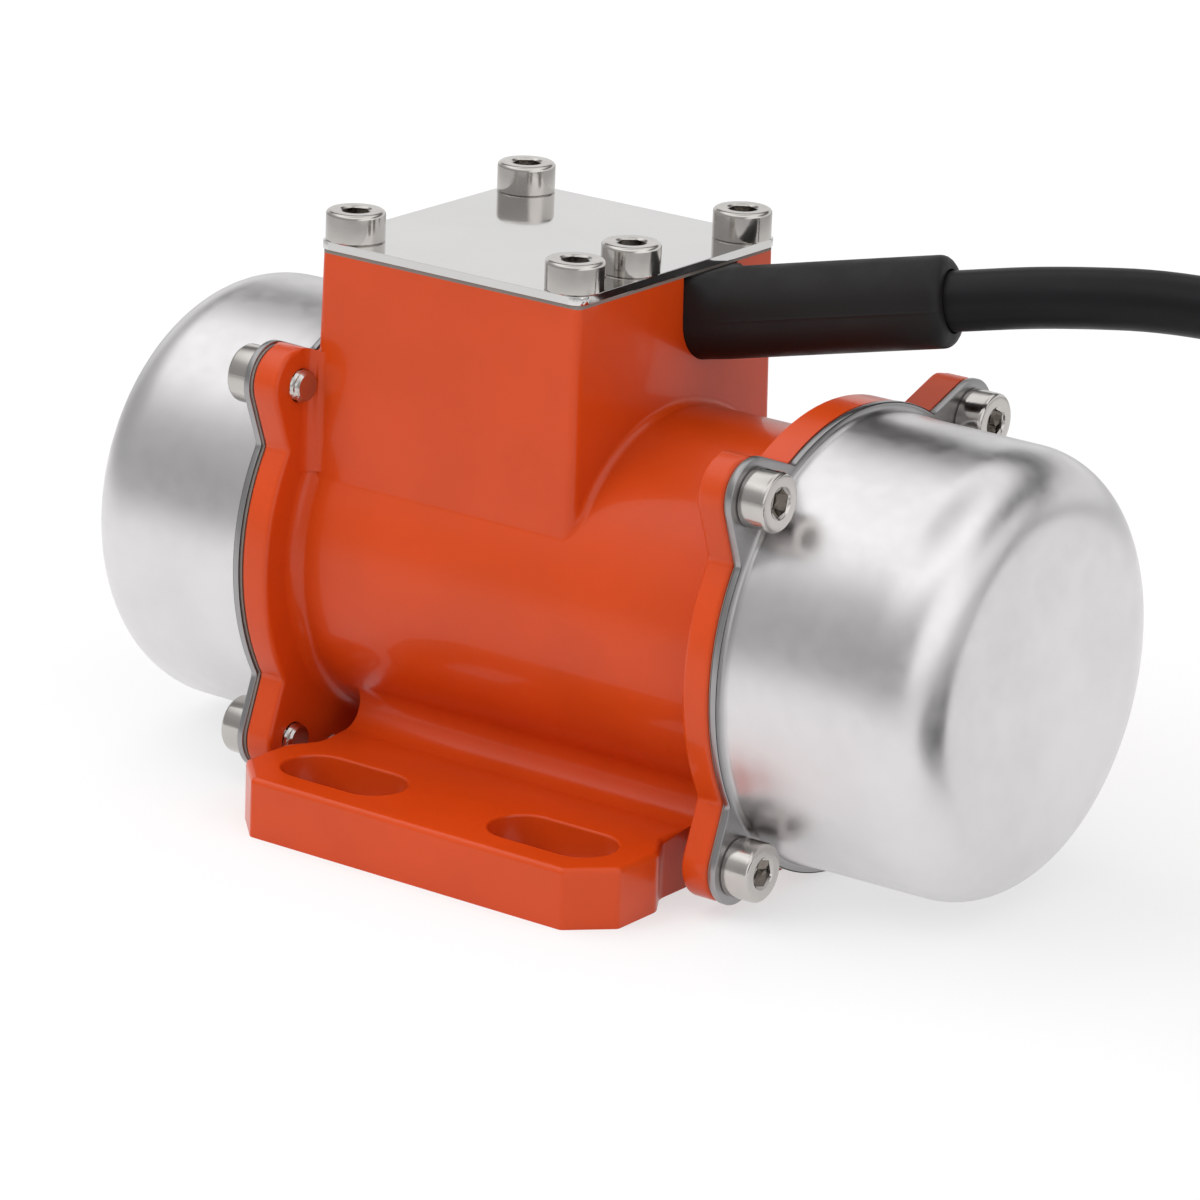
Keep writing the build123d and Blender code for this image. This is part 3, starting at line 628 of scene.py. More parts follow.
class Recipe(Tree):
    """A Geometry Nodes tree with named inputs, which turns a start mesh into a plain finished one."""

    def __init__(self, name: str) -> None:
        """Starts an empty tree with a geometry input and output.

        Args:
            name: The tree's name.
        """
        super().__init__(bpy.data.node_groups.new(name, "GeometryNodeTree"))
        self.sockets: dict[str, str] = {}
        self.interface("Geometry", "NodeSocketGeometry")
        self.nodes.interface.new_socket(name="Geometry", in_out="OUTPUT", socket_type="NodeSocketGeometry")
        self.start = self.add("NodeGroupInput")

    def interface(self, name: str, kind: str) -> None:
        """Adds a named input."""
        socket = self.nodes.interface.new_socket(name=name, in_out="INPUT", socket_type=kind)
        self.sockets[name] = socket.identifier

    def given(self, name: str, kind: str) -> Signal:
        """Adds a named input and gives its signal."""
        self.interface(name, kind)
        return Signal(self, self.start.outputs[name])

    def numbers(self, *names: str) -> list[Signal]:
        """Adds a number for each name and gives their signals."""
        return [self.given(name, "NodeSocketFloat") for name in names]

    def choose(self, index: Signal, values: Sequence[Any]) -> Signal:
        """Picks one of several numbers by an index.

        Args:
            index: Which number to pick, from 0.
            values: The numbers, plain or signals.

        Returns:
            The picked number.
        """
        node = self.add("GeometryNodeIndexSwitch", data_type="FLOAT")
        while len(node.index_switch_items) < len(values):
            node.index_switch_items.new()
        self.feed(node.inputs["Index"], index)
        for i, value in enumerate(values):
            self.feed(node.inputs[i + 1], value)
        return Signal(self, node.outputs[0])

    def grid(self, rows: Any, columns: Any) -> tuple[Signal, Signal, Signal]:
        """A grid to be bent into a turned shape.

        Args:
            rows: How many rows of points lie along the profile.
            columns: How many columns of faces go round.

        Returns:
            The grid's mesh, each point's row, and each point's angle in radians.
        """
        around = columns + 1
        feeds = {"Size X": 1.0, "Size Y": 1.0, "Vertices X": rows, "Vertices Y": around}
        mesh = self.call("GeometryNodeMeshGrid", feeds, "Mesh")
        x, y, _ = self.split(self.add("GeometryNodeInputPosition").outputs[0])
        along, round_share = x + 0.5, y + 0.5
        row = (along * (rows - 1)).math("ROUND")
        return mesh, row, round_share * (2 * math.pi)

    def bend(self, mesh: Signal, x: Any, y: Any, z: Any) -> Signal:
        """Moves a mesh's points to new places and closes its seams.

        Args:
            mesh: The mesh.
            x: Each point's new X.
            y: Its new Y.
            z: Its new Z.

        Returns:
            The bent mesh.
        """
        place = self.call("ShaderNodeCombineXYZ", {"X": x, "Y": y, "Z": z})
        moved = self.call("GeometryNodeSetPosition", {"Geometry": mesh, "Position": place})
        return self.call("GeometryNodeMergeByDistance", {"Geometry": moved, "Distance": SEAM_GAP})

    def finish(self, geometry: Signal, material: Signal) -> None:
        """Ends the tree: instances made real, and the material set.

        Args:
            geometry: The finished shape.
            material: The input that holds its material.
        """
        real = self.call("GeometryNodeRealizeInstances", {"Geometry": geometry})
        dressed = self.call("GeometryNodeSetMaterial", {"Geometry": real, "Material": material})
        self.feed(self.add("NodeGroupOutput").inputs[0], dressed)

    def apply(self, name: str, start: bpy.types.Mesh, values: dict[str, Any]) -> bpy.types.Object:
        """Runs the tree on a start mesh and keeps the result as a plain mesh.

        Args:
            name: The new piece's name.
            start: The mesh that the tree starts from.
            values: The named inputs' values.

        Returns:
            The piece, with no modifier left on it.
        """
        piece = new_object(name, start)
        modifier = piece.modifiers.new(name, "NODES")
        modifier.node_group = self.nodes
        for key, value in values.items():
            modifier[self.sockets[key]] = value
        graph = bpy.context.evaluated_depsgraph_get()
        made = bpy.data.meshes.new_from_object(piece.evaluated_get(graph), depsgraph=graph)
        piece.modifiers.remove(modifier)
        piece.data = made
        bpy.data.meshes.remove(start)
        made.name = name
        return piece


class End(Enum):
    """The two ends of the motor, with the sign that X has there."""

    LEFT = -1
    RIGHT = 1

    @property
    def word(self) -> str:
        """The end's name in the names of its pieces."""
        return self.name.lower()


@dataclass
class DrawnCap:
    """A deep-drawn stainless cap with four ears on its flange.

    The flange follows the casting's outline: a disc with an ear at each diagonal, each ear a round tip
    joined to the disc by two straight flanks.

    Attributes:
        end: The end of the motor that it covers.
        sheet: The sheet's thickness.
        radius: The cup's radius at its root.
        top_radius: The cup's radius above its draw line.
        corner: The radius of the corner between wall and end.
        corner_power: 2 for a round corner, more for a squarer one.
        crown: How far the end face bulges.
        root: The radius between cup and flange.
        edge_round: The radius of the flange's edge.
        draw_line: How far from the flange the wall steps in.
        draw_depth: How far it steps in.
        draw_softness: Over which length it does.
        disc_radius: The flange's radius between the ears.
        ear_reach: The distance of an ear's hole from the axis.
        ear_radius: The radius of an ear's tip.
        ear_root_angle: Half the angle that an ear takes of the disc.
        notch_softness: How far the notch beside an ear is rounded.
        hole_radius: The radius of an ear's hole.
        hole_sides: How many sides a hole has.
        cut_gap: The distance under which the points that the drills leave are joined.
        columns: How many columns of faces go round.
    """

    SIZES = (
        "columns", "disc_radius", "ear_reach", "ear_radius", "ear_root_angle", "notch_softness",
        "hole_radius",
    )
    hole_sides = 48
    cut_gap = 0.004 * MM

    end: End
    sheet: float = 0.8 * MM
    radius: float = 26.2 * MM
    top_radius: float = 26.08 * MM
    corner: float = 7.6 * MM
    corner_power: float = 2.05
    crown: float = 0.04 * MM
    root: float = 0.75 * MM
    edge_round: float = 0.14 * MM
    draw_line: float = 2.6 * MM
    draw_depth: float = 0.07 * MM
    draw_softness: float = 0.25 * MM
    disc_radius: float = 27.3 * MM
    ear_reach: float = SCREW_OFFSET * math.sqrt(2)
    ear_radius: float = 4.5 * MM
    ear_root_angle: float = math.radians(14.3)
    notch_softness: float = 0.5 * MM
    hole_radius: float = 2.25 * MM
    columns: int = 480

    def wall(self, back: float, end: float, inset: float) -> list[Point]:
        """One skin of the cup, from the centre of its end down to its root.

        Args:
            back: Where the skin's flange lies along X.
            end: Where the skin's end face lies along X.
            inset: How far the skin lies inside the outer one.

        Returns:
            Points of (X, radius, share of the ear), centre first.
        """
        corner = self.corner - inset
        top = self.top_radius - inset
        points = []
        for i in range(9):
            r = i / 8 * (top - corner)
            points.append((end - self.crown * (r / top) ** 2, r, 0.0))
        start = points[-1][0]
        power = 2 / self.corner_power
        for i in range(1, 17):
            turn = i / 16 * math.pi / 2
            r = top - corner + corner * math.sin(turn) ** power
            points.append((start - corner + corner * math.cos(turn) ** power, r, 0.0))
        root = self.root + inset
        low = back + root
        high = points[-1][0]
        for i in range(1, 13):
            x = high + (low - high) * i / 12
            share = (high - x) / (high - low)
            above = x - back - self.draw_line
            step = self.draw_depth * (0.5 + 0.5 * math.tanh(above / self.draw_softness))
            points.append((x, top + (self.radius - inset - top) * share - step + self.draw_depth, 0.0))
        foot = points[-1][1]
        for i in range(1, 7):
            turn = i / 6 * math.pi / 2
            points.append((low - root * math.sin(turn), foot + root * (1 - math.cos(turn)), 0.0))
        return points

    def profile(self, back: float, end: float) -> list[Point]:
        """The half section, from the centre outside, round the flange's edge, to the centre inside.

        Args:
            back: Where the flange's back lies along X.
            end: Where the end face lies along X.

        Returns:
            Points of (X, radius, share of the ear).
        """
        outer = self.wall(back + self.sheet, end, 0.0)
        inner = self.wall(back, end - self.sheet, self.sheet)
        e = self.edge_round
        front, rear = back + self.sheet, back
        points = list(outer)
        root_radius = outer[-1][1]
        for share in (0.3, 0.6, 0.85):
            points.append((front, (1 - share) * root_radius, share))
        for i in range(4):
            turn = i / 3 * math.pi / 2
            points.append((front - e * (1 - math.cos(turn)), -e * (1 - math.sin(turn)), 1.0))
        for i in range(4):
            turn = i / 3 * math.pi / 2
            points.append((rear + e * (1 - math.sin(turn)), -e * (1 - math.cos(turn)), 1.0))
        inner_root = inner[-1][1]
        for share in (0.85, 0.6, 0.3):
            points.append((rear, (1 - share) * inner_root, share))
        return points + inner[::-1]

    @staticmethod
    def recipe() -> Recipe:
        """The tree that turns the half section into the eared cap.

        Returns:
            The tree.
        """
        recipe = Recipe("drawn_cap")
        columns, disc, reach, ear, root, softness, hole = recipe.numbers(*DrawnCap.SIZES)
        axis, side = recipe.numbers("axis_height", "side")
        material = recipe.given("material", "NodeSocketMaterial")
        section = recipe.start.outputs["Geometry"]
        rows = recipe.call(
            "GeometryNodeAttributeDomainSize", {"Geometry": section}, "Point Count", component="MESH"
        )
        mesh, row, angle = recipe.grid(rows, columns)
        sample = recipe.add("GeometryNodeSampleIndex", data_type="FLOAT_VECTOR", domain="POINT")
        recipe.feed(sample.inputs["Geometry"], section)
        recipe.feed(sample.inputs["Value"], recipe.add("GeometryNodeInputPosition").outputs[0])
        recipe.feed(sample.inputs["Index"], row)
        x, offset, share = recipe.split(sample.outputs["Value"])

        off_ear = (angle.math("MODULO", math.pi / 2) - math.pi / 4).math("ABSOLUTE")
        sine, cosine = off_ear.math("SINE"), off_ear.math("COSINE")
        across = reach * sine
        under = (ear * ear - across * across).math("MAXIMUM", 0.0)
        tip = reach * cosine + under.math("SQRT")
        root_x = disc * root.math("COSINE")
        root_y = disc * root.math("SINE")
        gap_x = reach - root_x
        gap = (gap_x * gap_x + root_y * root_y).math("SQRT")
        slope = root_y.math("ARCTAN2", gap_x) - (ear / gap).math("ARCSINE")
        normal = math.pi / 2 - slope
        flank = root_x * normal.math("COSINE") + root_y * normal.math("SINE")
        flank = flank / (off_ear - normal).math("COSINE")
        touch = (ear * normal.math("SINE")).math("ARCTAN2", reach + ear * normal.math("COSINE"))
        on_tip = off_ear.math("LESS_THAN", touch)
        eared = tip * on_tip + flank * (1.0 - on_tip)
        rim = eared.math("SMOOTH_MAX", disc, softness)
        radius = offset + share * rim
        place_y = radius * angle.math("COSINE")
        place_z = radius * angle.math("SINE") * side + axis
        cup = recipe.bend(mesh, x * side, place_y, place_z)

        index = Signal(recipe, recipe.add("GeometryNodeInputIndex").outputs[0])
        turn = (index + 0.5) * (math.pi / 2)
        place = recipe.call(
            "ShaderNodeCombineXYZ",
            {"X": 0.0, "Y": reach * turn.math("COSINE"), "Z": reach * turn.math("SINE") + axis},
        )
        ears = recipe.call("GeometryNodePoints", {"Count": 4, "Position": place})
        drill = recipe.call(
            "GeometryNodeMeshCylinder",
            {"Vertices": DrawnCap.hole_sides, "Radius": hole, "Depth": 0.2}, "Mesh",
        )
        drills = recipe.call(
            "GeometryNodeInstanceOnPoints",
            {"Points": ears, "Instance": drill, "Rotation": (0.0, math.pi / 2, 0.0)},
        )
        drills = recipe.call("GeometryNodeRealizeInstances", {"Geometry": drills})
        cut = recipe.add("GeometryNodeMeshBoolean", operation="DIFFERENCE", solver="EXACT")
        recipe.feed(cut.inputs[0], cup)
        recipe.feed(cut.inputs[1], drills)
        cleaned = recipe.call(
            "GeometryNodeMergeByDistance", {"Geometry": cut.outputs[0], "Distance": DrawnCap.cut_gap}
        )
        recipe.finish(cleaned, material)
        return recipe

    def build(self, recipe: Recipe, book: FinishBook) -> bpy.types.Object:
        """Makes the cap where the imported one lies, and lets it stand for that one.

        Args:
            recipe: The caps' tree.
            book: The finishes.

        Returns:
            The cap.
        """
        node = f"cap_{self.end.word}"
        low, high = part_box(node)
        back, end = sorted((abs(low.x), abs(high.x)))
        section = points_mesh(f"{node}_section", self.profile(back, end))
        values = sizes_of(self) | {
            "axis_height": AXIS_HEIGHT, "side": float(self.end.value), "material": book["cap_steel"],
        }
        cap = recipe.apply(f"drawn_cap_{self.end.word}", section, values)
        smooth(cap.data, sharp_over=40)
        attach(cap, "root")
        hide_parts(node)
        return cap


@dataclass
class SocketScrews:
    """A set of socket head cap screws, each turned by chance to another angle.

    Attributes:
        edge_round: The radius of the head's upper edge.
        foot_round: How far the head's lower edge is broken.
        socket_flats: The hexagon's width across its flats.
        rim_depth: How deep the chamfer round the socket goes.
        tip_chamfer: How far the thread's tip tapers.
        head_columns: How many columns of faces go round the head.
        thread_columns: How many go round the thread.
        rows_per_turn: How many rows of faces one turn of the thread has.
        flat_start: How far in the head's flat top starts, in edge rounds.
        drill_point: How deep the socket's drill point goes, in socket depths.
        crest_power: 1 for a sharp crest, less for a fuller one.
    """

    SIZES = (
        "head_columns", "thread_columns", "head_radius", "head_height", "edge_round", "foot_round",
        "socket_flats", "socket_depth", "rim_depth", "thread_radius", "thread_depth", "thread_pitch",
        "tip_chamfer",
    )
    flat_start = 1.6
    drill_point = 1.25
    crest_power = 0.7

    head_radius: float = 3.45 * MM
    head_height: float = 3.5 * MM
    edge_round: float = 0.5 * MM
    foot_round: float = 0.15 * MM
    socket_flats: float = 3.0 * MM
    socket_depth: float = 2.0 * MM
    rim_depth: float = 0.2 * MM
    thread_radius: float = 2.0 * MM
    thread_depth: float = 0.36 * MM
    thread_pitch: float = 0.7 * MM
    tip_chamfer: float = 0.5 * MM
    head_columns: int = 60
    thread_columns: int = 28
    rows_per_turn: int = 8

    @staticmethod
    def recipe() -> Recipe:
        """The tree that makes one screw from its sizes and stands a copy on each seat.

        Returns:
            The tree.
        """
        recipe = Recipe("socket_screws")
        (
            head_columns, thread_columns, radius, height, soft, foot, flats, depth, rim, thread, groove,
            pitch, chamfer,
        ) = recipe.numbers(*SocketScrews.SIZES)
        thread_rows, length = recipe.numbers("thread_rows", "length")
        seed = recipe.given("spin_seed", "NodeSocketInt")
        direction = recipe.given("direction", "NodeSocketVector")
        material = recipe.given("material", "NodeSocketMaterial")

        def edge(quarter: float) -> tuple[Signal, Signal]:
            """A point of the rounded top edge, as (radius, height)."""
            turn = quarter * math.pi / 2
            return radius - soft * (1 - math.cos(turn)), height - soft * (1 - math.sin(turn))

        mesh, row, angle = recipe.grid(15, head_columns)
        third = math.pi / 3
        off_flat = (angle.math("MODULO", third) - third / 2).math("COSINE")
        hexagon = flats * 0.5 / off_flat
        corner = flats * (0.5 / math.cos(third / 2))
        zero = flats * 0.0
        top = [edge(i / 4) for i in range(5)]
        stations = [(zero, zero), (radius - foot, zero), (radius, foot), *top]
        stations += [
            (radius - soft * SocketScrews.flat_start, height),
            (corner + rim, height),
            (corner, height - rim * 0.7),
            (hexagon, height - rim),
            (hexagon, height - depth * 0.5),
            (hexagon, height - depth),
            (zero, height - depth * SocketScrews.drill_point),
        ]
        head_r = recipe.choose(row, [r for r, _ in stations])
        head_z = recipe.choose(row, [z for _, z in stations])
        head = recipe.bend(mesh, head_r * angle.math("COSINE"), head_r * angle.math("SINE"), head_z)
        head = recipe.call("GeometryNodeFlipFaces", {"Mesh": head})

        mesh, row, angle = recipe.grid(thread_rows, thread_columns)
        share = row / (thread_rows - 1.0)
        z = foot - share * (length + foot)
        wound = (z / pitch + angle / (2 * math.pi)).math("FRACT")
        crest = (wound * 2.0 - 1.0).math("ABSOLUTE").math("POWER", SocketScrews.crest_power)
        threaded = thread - groove * crest
        threaded = threaded.math("MINIMUM", thread - chamfer + (z + length))
        inside = row.math("GREATER_THAN", 0.5) * row.math("LESS_THAN", thread_rows - 1.5)
        threaded = threaded * inside
        shank = recipe.bend(mesh, threaded * angle.math("COSINE"), threaded * angle.math("SINE"), z)

        joined = recipe.add("GeometryNodeJoinGeometry")
        recipe.feed(joined.inputs[0], head)
        recipe.feed(joined.inputs[0], shank)
        spin = recipe.call(
            "FunctionNodeRandomValue", {2: 0.0, 3: 2 * math.pi, "Seed": seed}, 1, data_type="FLOAT"
        )
        stand = recipe.call("FunctionNodeAlignRotationToVector", {"Vector": direction}, axis="Z")
        turned = recipe.call("FunctionNodeAxisAngleToRotation", {"Axis": (0.0, 0.0, 1.0), "Angle": spin})
        rotation = recipe.add("FunctionNodeRotateRotation", rotation_space="LOCAL")
        recipe.feed(rotation.inputs[0], stand)
        recipe.feed(rotation.inputs[1], turned)
        placed = recipe.call(
            "GeometryNodeInstanceOnPoints",
            {
                "Points": recipe.start.outputs["Geometry"],
                "Instance": joined.outputs[0],
                "Rotation": rotation.outputs[0],
            },
        )
        recipe.finish(placed, material)
        return recipe

    def build(
        self, recipe: Recipe, book: FinishBook, node: str, seats: Sequence[Point], direction: Point,
        length: float, seed: int,
    ) -> bpy.types.Object:
        """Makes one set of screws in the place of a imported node.

        Args:
            recipe: The screws' tree.
            book: The finishes.
            node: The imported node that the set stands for.
            seats: Where the heads sit.
            direction: Where the heads point.
            length: The thread's length under the head.
            seed: The seed of the heads' turning.

        Returns:
            The set as one piece.
        """
        rows = math.ceil(length / self.thread_pitch * self.rows_per_turn) + 3
        values = sizes_of(self) | {
            "thread_rows": float(rows), "length": length, "spin_seed": seed, "direction": direction,
            "material": book["screw_steel"],
        }
        screws = recipe.apply(f"socket_{node}", points_mesh(f"{node}_seats", seats), values)
        smooth(screws.data, sharp_over=32)
        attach(screws, "root")
        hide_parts(node)
        return screws


@dataclass
class CastHousing:
    """The casting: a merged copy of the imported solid, with its outer rims rounded as poured edges are.

    The rims of the flanges' ears, of the feet and of their slots are rounded. The other edges are round in
    the solid already, or lie under another piece.

    Attributes:
        rounding: How wide the rounded rims are.
        slot_rounding: How wide the rounded rims of the slots are.
        segments: How many facets a rounded rim has.
        over: The angle in degrees from which an edge is a rim.
        shortest: The length under which an edge is closed up first.
        flange: The two distances along X that a flange lies between.
        barrel_reach: The distance from the axis inside which nothing is rounded.
        hole_reach: The distance from a thread hole's centre inside which nothing is rounded.
        bridge: Where the box wall runs into a flange: over this height, inside this half width.
        bed: Where a flange meets the foot: under this height, inside this half width.
        foot_top: The height under which an edge belongs to a foot.
        foot_inner: The distance along Y from which an edge belongs to a foot.
        foot_end: The distance along X up to which an edge belongs to a foot.
        slot_centre: The distances of a slot's middle from the motor's, along X and Y.
        slot_half: Half the length and width of the place that a slot lies in.
        ground: The height up to which a foot's lower rim lies, which stays sharp.
    """

    rounding: float = 0.65 * MM
    slot_rounding: float = 0.3 * MM
    segments: int = 3
    over: float = 25.0
    shortest: float = 0.06 * MM
    flange: tuple[float, float] = (29.5 * MM, 33.35 * MM)
    barrel_reach: float = 24.0 * MM
    hole_reach: float = 2.6 * MM
    bridge: tuple[float, float] = (48.0 * MM, 21.3 * MM)
    bed: tuple[float, float] = (2.0 * MM, 8.5 * MM)
    foot_top: float = 7.25 * MM
    foot_inner: float = 17.9 * MM
    foot_end: float = 27.2 * MM
    slot_centre: tuple[float, float] = (15.0 * MM, 30.0 * MM)
    slot_half: tuple[float, float] = (8.5 * MM, 4.5 * MM)
    ground: float = 0.3 * MM

    def on_flange(self, point: Vector) -> bool:
        """Whether a point lies on the outer rim of a flange.

        Args:
            point: The point.

        Returns:
            Whether it does.
        """
        across, height = abs(point.y), point.z - AXIS_HEIGHT
        if not self.flange[0] < abs(point.x) < self.flange[1]:
            return False
        if math.hypot(across, height) < self.barrel_reach:
            return False
        if math.hypot(across - SCREW_OFFSET, abs(height) - SCREW_OFFSET) < self.hole_reach:
            return False
        if point.z > self.bridge[0] and across < self.bridge[1]:
            return False
        return point.z > self.bed[0] or across > self.bed[1]

    def on_foot(self, point: Vector) -> bool:
        """Whether a point lies on the outline of a foot or of its slots."""
        low, outside = point.z < self.foot_top, abs(point.y) > self.foot_inner
        return low and outside and abs(point.x) < self.foot_end

    def on_slot(self, edge: bmesh.types.BMEdge) -> bool:
        """Whether an edge of a foot is the rim of a slot.

        Args:
            edge: The edge.

        Returns:
            Whether both its ends lie in a slot's place.
        """
        for vertex in edge.verts:
            for place, centre, half in zip(vertex.co, self.slot_centre, self.slot_half):
                if abs(abs(place) - centre) > half:
                    return False
        return True

    def is_rim(self, edge: bmesh.types.BMEdge) -> bool:
        """Whether an edge is one of the rims to round.

        Args:
            edge: The edge.

        Returns:
            Whether it is.
        """
        if edge.calc_face_angle(0.0) < math.radians(self.over):
            return False
        ends = [vertex.co for vertex in edge.verts]
        if all(self.on_flange(point) for point in ends):
            return True
        return all(self.on_foot(point) for point in ends) and max(p.z for p in ends) > self.ground

    def build(self, book: FinishBook, solid: bpy.types.Object) -> bpy.types.Object:
        """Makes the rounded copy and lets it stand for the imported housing.

        Args:
            book: The finishes.
            solid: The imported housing.

        Returns:
            The rounded casting.
        """
        shape = bmesh.new()
        shape.from_mesh(solid.data)
        bmesh.ops.remove_doubles(shape, verts=shape.verts, dist=WELD_GAP)
        bmesh.ops.dissolve_limit(shape, angle_limit=FLAT_ANGLE, verts=shape.verts, edges=shape.edges)
        short = [e for e in shape.edges if e.calc_length() < self.shortest and self.is_rim(e)]
        bmesh.ops.collapse(shape, edges=short)
        for is_slot, width in ((False, self.rounding), (True, self.slot_rounding)):
            rims = [e for e in shape.edges if self.is_rim(e) and self.on_slot(e) == is_slot]
            bmesh.ops.bevel(
                shape, geom=rims, offset=width, offset_type="OFFSET", segments=self.segments,
                profile=0.5, affect="EDGES", clamp_overlap=False, miter_outer="SHARP",
            )
        bmesh.ops.dissolve_degenerate(shape, dist=WELD_GAP, edges=shape.edges)
        mesh = bpy.data.meshes.new("cast_housing")
        shape.to_mesh(mesh)
        shape.free()
        mesh.materials.append(book["enamel"])
        smooth(mesh, sharp_over=35)
        housing = new_object("cast_housing", mesh)
        normals = housing.modifiers.new("normals", "WEIGHTED_NORMAL")
        normals.keep_sharp = True
        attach(housing, "root")
        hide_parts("housing")
        return housing


@dataclass
class SoftenedNode:
    """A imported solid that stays, with its sharp edges rounded by live modifiers.

    Attributes:
        node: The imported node's name.
        width: How wide the rounded edges are.
        segments: How many facets a rounded edge has.
        over: The angle in degrees from which an edge is rounded.
    """

    node: str
    width: float
    segments: int = 3
    over: float = 28.0

    def build(self, nodes: dict[str, bpy.types.Object]) -> None:
        """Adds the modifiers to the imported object.

        Args:
            nodes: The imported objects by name.
        """
        solid = nodes[self.node]
        weld = solid.modifiers.new("weld", "WELD")
        weld.merge_threshold = WELD_GAP
        faces = solid.modifiers.new("faces", "DECIMATE")
        faces.decimate_type = "DISSOLVE"
        faces.angle_limit = FLAT_ANGLE
        edges = solid.modifiers.new("edges", "BEVEL")
        edges.width = self.width
        edges.segments = self.segments
        edges.limit_method = "ANGLE"
        edges.angle_limit = math.radians(self.over)
        edges.harden_normals = True
        edges.miter_outer = "MITER_ARC"


@dataclass
class RubberSleeve:
    """The sleeve that leads the cord out of the junction box: square under the lid, then round and bent.

    Attributes:
        radius: The sleeve's radius.
        bore: The radius of its bore.
        depth_in_wall: How far it reaches into the box.
        end_round: How far the edge of its inner end is broken.
        square_length: Over which length it turns from square to round.
        square_power: How square its upper half is at the box.
        mouth_round: The radius of its mouth's edge.
        mouth_lip: How far the bore's edge is broken at the mouth, across and along.
        seam_height: How far the parting line stands out.
        seam_width: Half the parting line's width, as an angle.
        columns: How many columns of faces go round.
        rows: How many rows of faces lie along the skin.
        bore_step: How many of those rows one row of the bore spans.
    """

    radius: float = 5.3 * MM
    bore: float = 3.6 * MM
    depth_in_wall: float = 4.1 * MM
    end_round: float = 0.3 * MM
    square_length: float = 4.5 * MM
    square_power: float = 9.0
    mouth_round: float = 1.3 * MM
    mouth_lip: tuple[float, float] = (0.1 * MM, 0.15 * MM)
    seam_height: float = 0.1 * MM
    seam_width: float = math.radians(1.6)
    columns: int = 180
    rows: int = 44
    bore_step: int = 4

    def centre(self, t: float) -> tuple[Vector, Vector]:
        """A point of the bent centre line and its direction.

        Args:
            t: 0 at the box face, 1 at the mouth.

        Returns:
            The point and the unit direction.
        """
        start, bend, mouth = (Vector(p) for p in (LEAD_EXIT, SLEEVE_BEND, SLEEVE_MOUTH))
        point = start * (1 - t) ** 2 + bend * (2 * t * (1 - t)) + mouth * t * t
        direction = (bend - start) * (1 - t) + (mouth - bend) * t
        return point, direction.normalized()

    def ring(
        self, point: Vector, direction: Vector, radius: float, power: float, seam: float
    ) -> list[Vector]:
        """One closed ring of the sleeve's skin.

        Args:
            point: The ring's centre.
            direction: The way the sleeve runs there.
            radius: The ring's radius.
            power: 2 for a round top, more for a squarer one.
            seam: How far the parting line stands out.

        Returns:
            The ring's points.
        """
        side = Vector((0, 0, 1)).cross(direction).normalized()
        up = direction.cross(side)
        ring = []
        for i in range(self.columns):
            turn = 2 * math.pi * i / self.columns
            c, s = math.cos(turn), math.sin(turn)
            n = power if s > 0 else 2.0
            reach = radius / (abs(c) ** n + abs(s) ** n) ** (1 / n)
            off_seam = math.asin(min(1.0, abs(s)))
            reach += seam * math.exp(-((off_seam / self.seam_width) ** 2))
            ring.append(point + side * (reach * c) + up * (reach * s))
        return ring

    def build(self, book: FinishBook) -> bpy.types.Object:
        """Makes the sleeve, with its rounded mouth and its bore.

        Args:
            book: The finishes.

        Returns:
            The sleeve.
        """
        along_wall = Vector((1, 0, 0))
        face = self.centre(0)[0]
        inner_end = face - along_wall * self.depth_in_wall
        past_edge = inner_end + along_wall * self.end_round
        rings = [
            self.ring(inner_end, along_wall, self.bore, 2, 0),
            self.ring(inner_end, along_wall, self.radius - self.end_round, self.square_power, 0),
            self.ring(past_edge, along_wall, self.radius, self.square_power, 0),
        ]
        length = (Vector(SLEEVE_MOUTH) - face).length
        end_share = 1 - self.mouth_round / length
        for i in range(self.rows + 1):
            t = i / self.rows * end_share
            point, direction = self.centre(t)
            settle = ease(t * length / self.square_length)
            direction = (along_wall * (1 - settle) + direction * settle).normalized()
            power = 2 + (self.square_power - 2) * (1 - settle) ** 2
            rings.append(self.ring(point, direction, self.radius, power, self.seam_height * settle))
        last, direction = self.centre(end_share)
        for i in range(1, 7):
            turn = i / 6 * math.pi / 2
            out = direction * (self.mouth_round * math.sin(turn))
            radius = self.radius - self.mouth_round * (1 - math.cos(turn))
            rings.append(self.ring(last + out, direction, radius, 2, self.seam_height * math.cos(turn)))
        end = last + direction * self.mouth_round
        lip_out, lip_in = self.mouth_lip
        rings.append(self.ring(end, direction, self.bore + lip_out, 2, 0))
        rings.append(self.ring(end - direction * lip_in, direction, self.bore, 2, 0))
        for i in range(self.rows, -1, -self.bore_step):
            point, direction = self.centre(i / self.rows * end_share)
            rings.append(self.ring(point, direction, self.bore, 2, 0))
        rings.append(self.ring(inner_end, along_wall, self.bore, 2, 0))
        mesh = self.closed_tube(rings)
        mesh.materials.append(book["sleeve_rubber"])
        smooth(mesh, sharp_over=40)
        sleeve = new_object("rubber_sleeve", mesh)
        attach(sleeve, "root")
        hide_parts("cable_sleeve")
        return sleeve

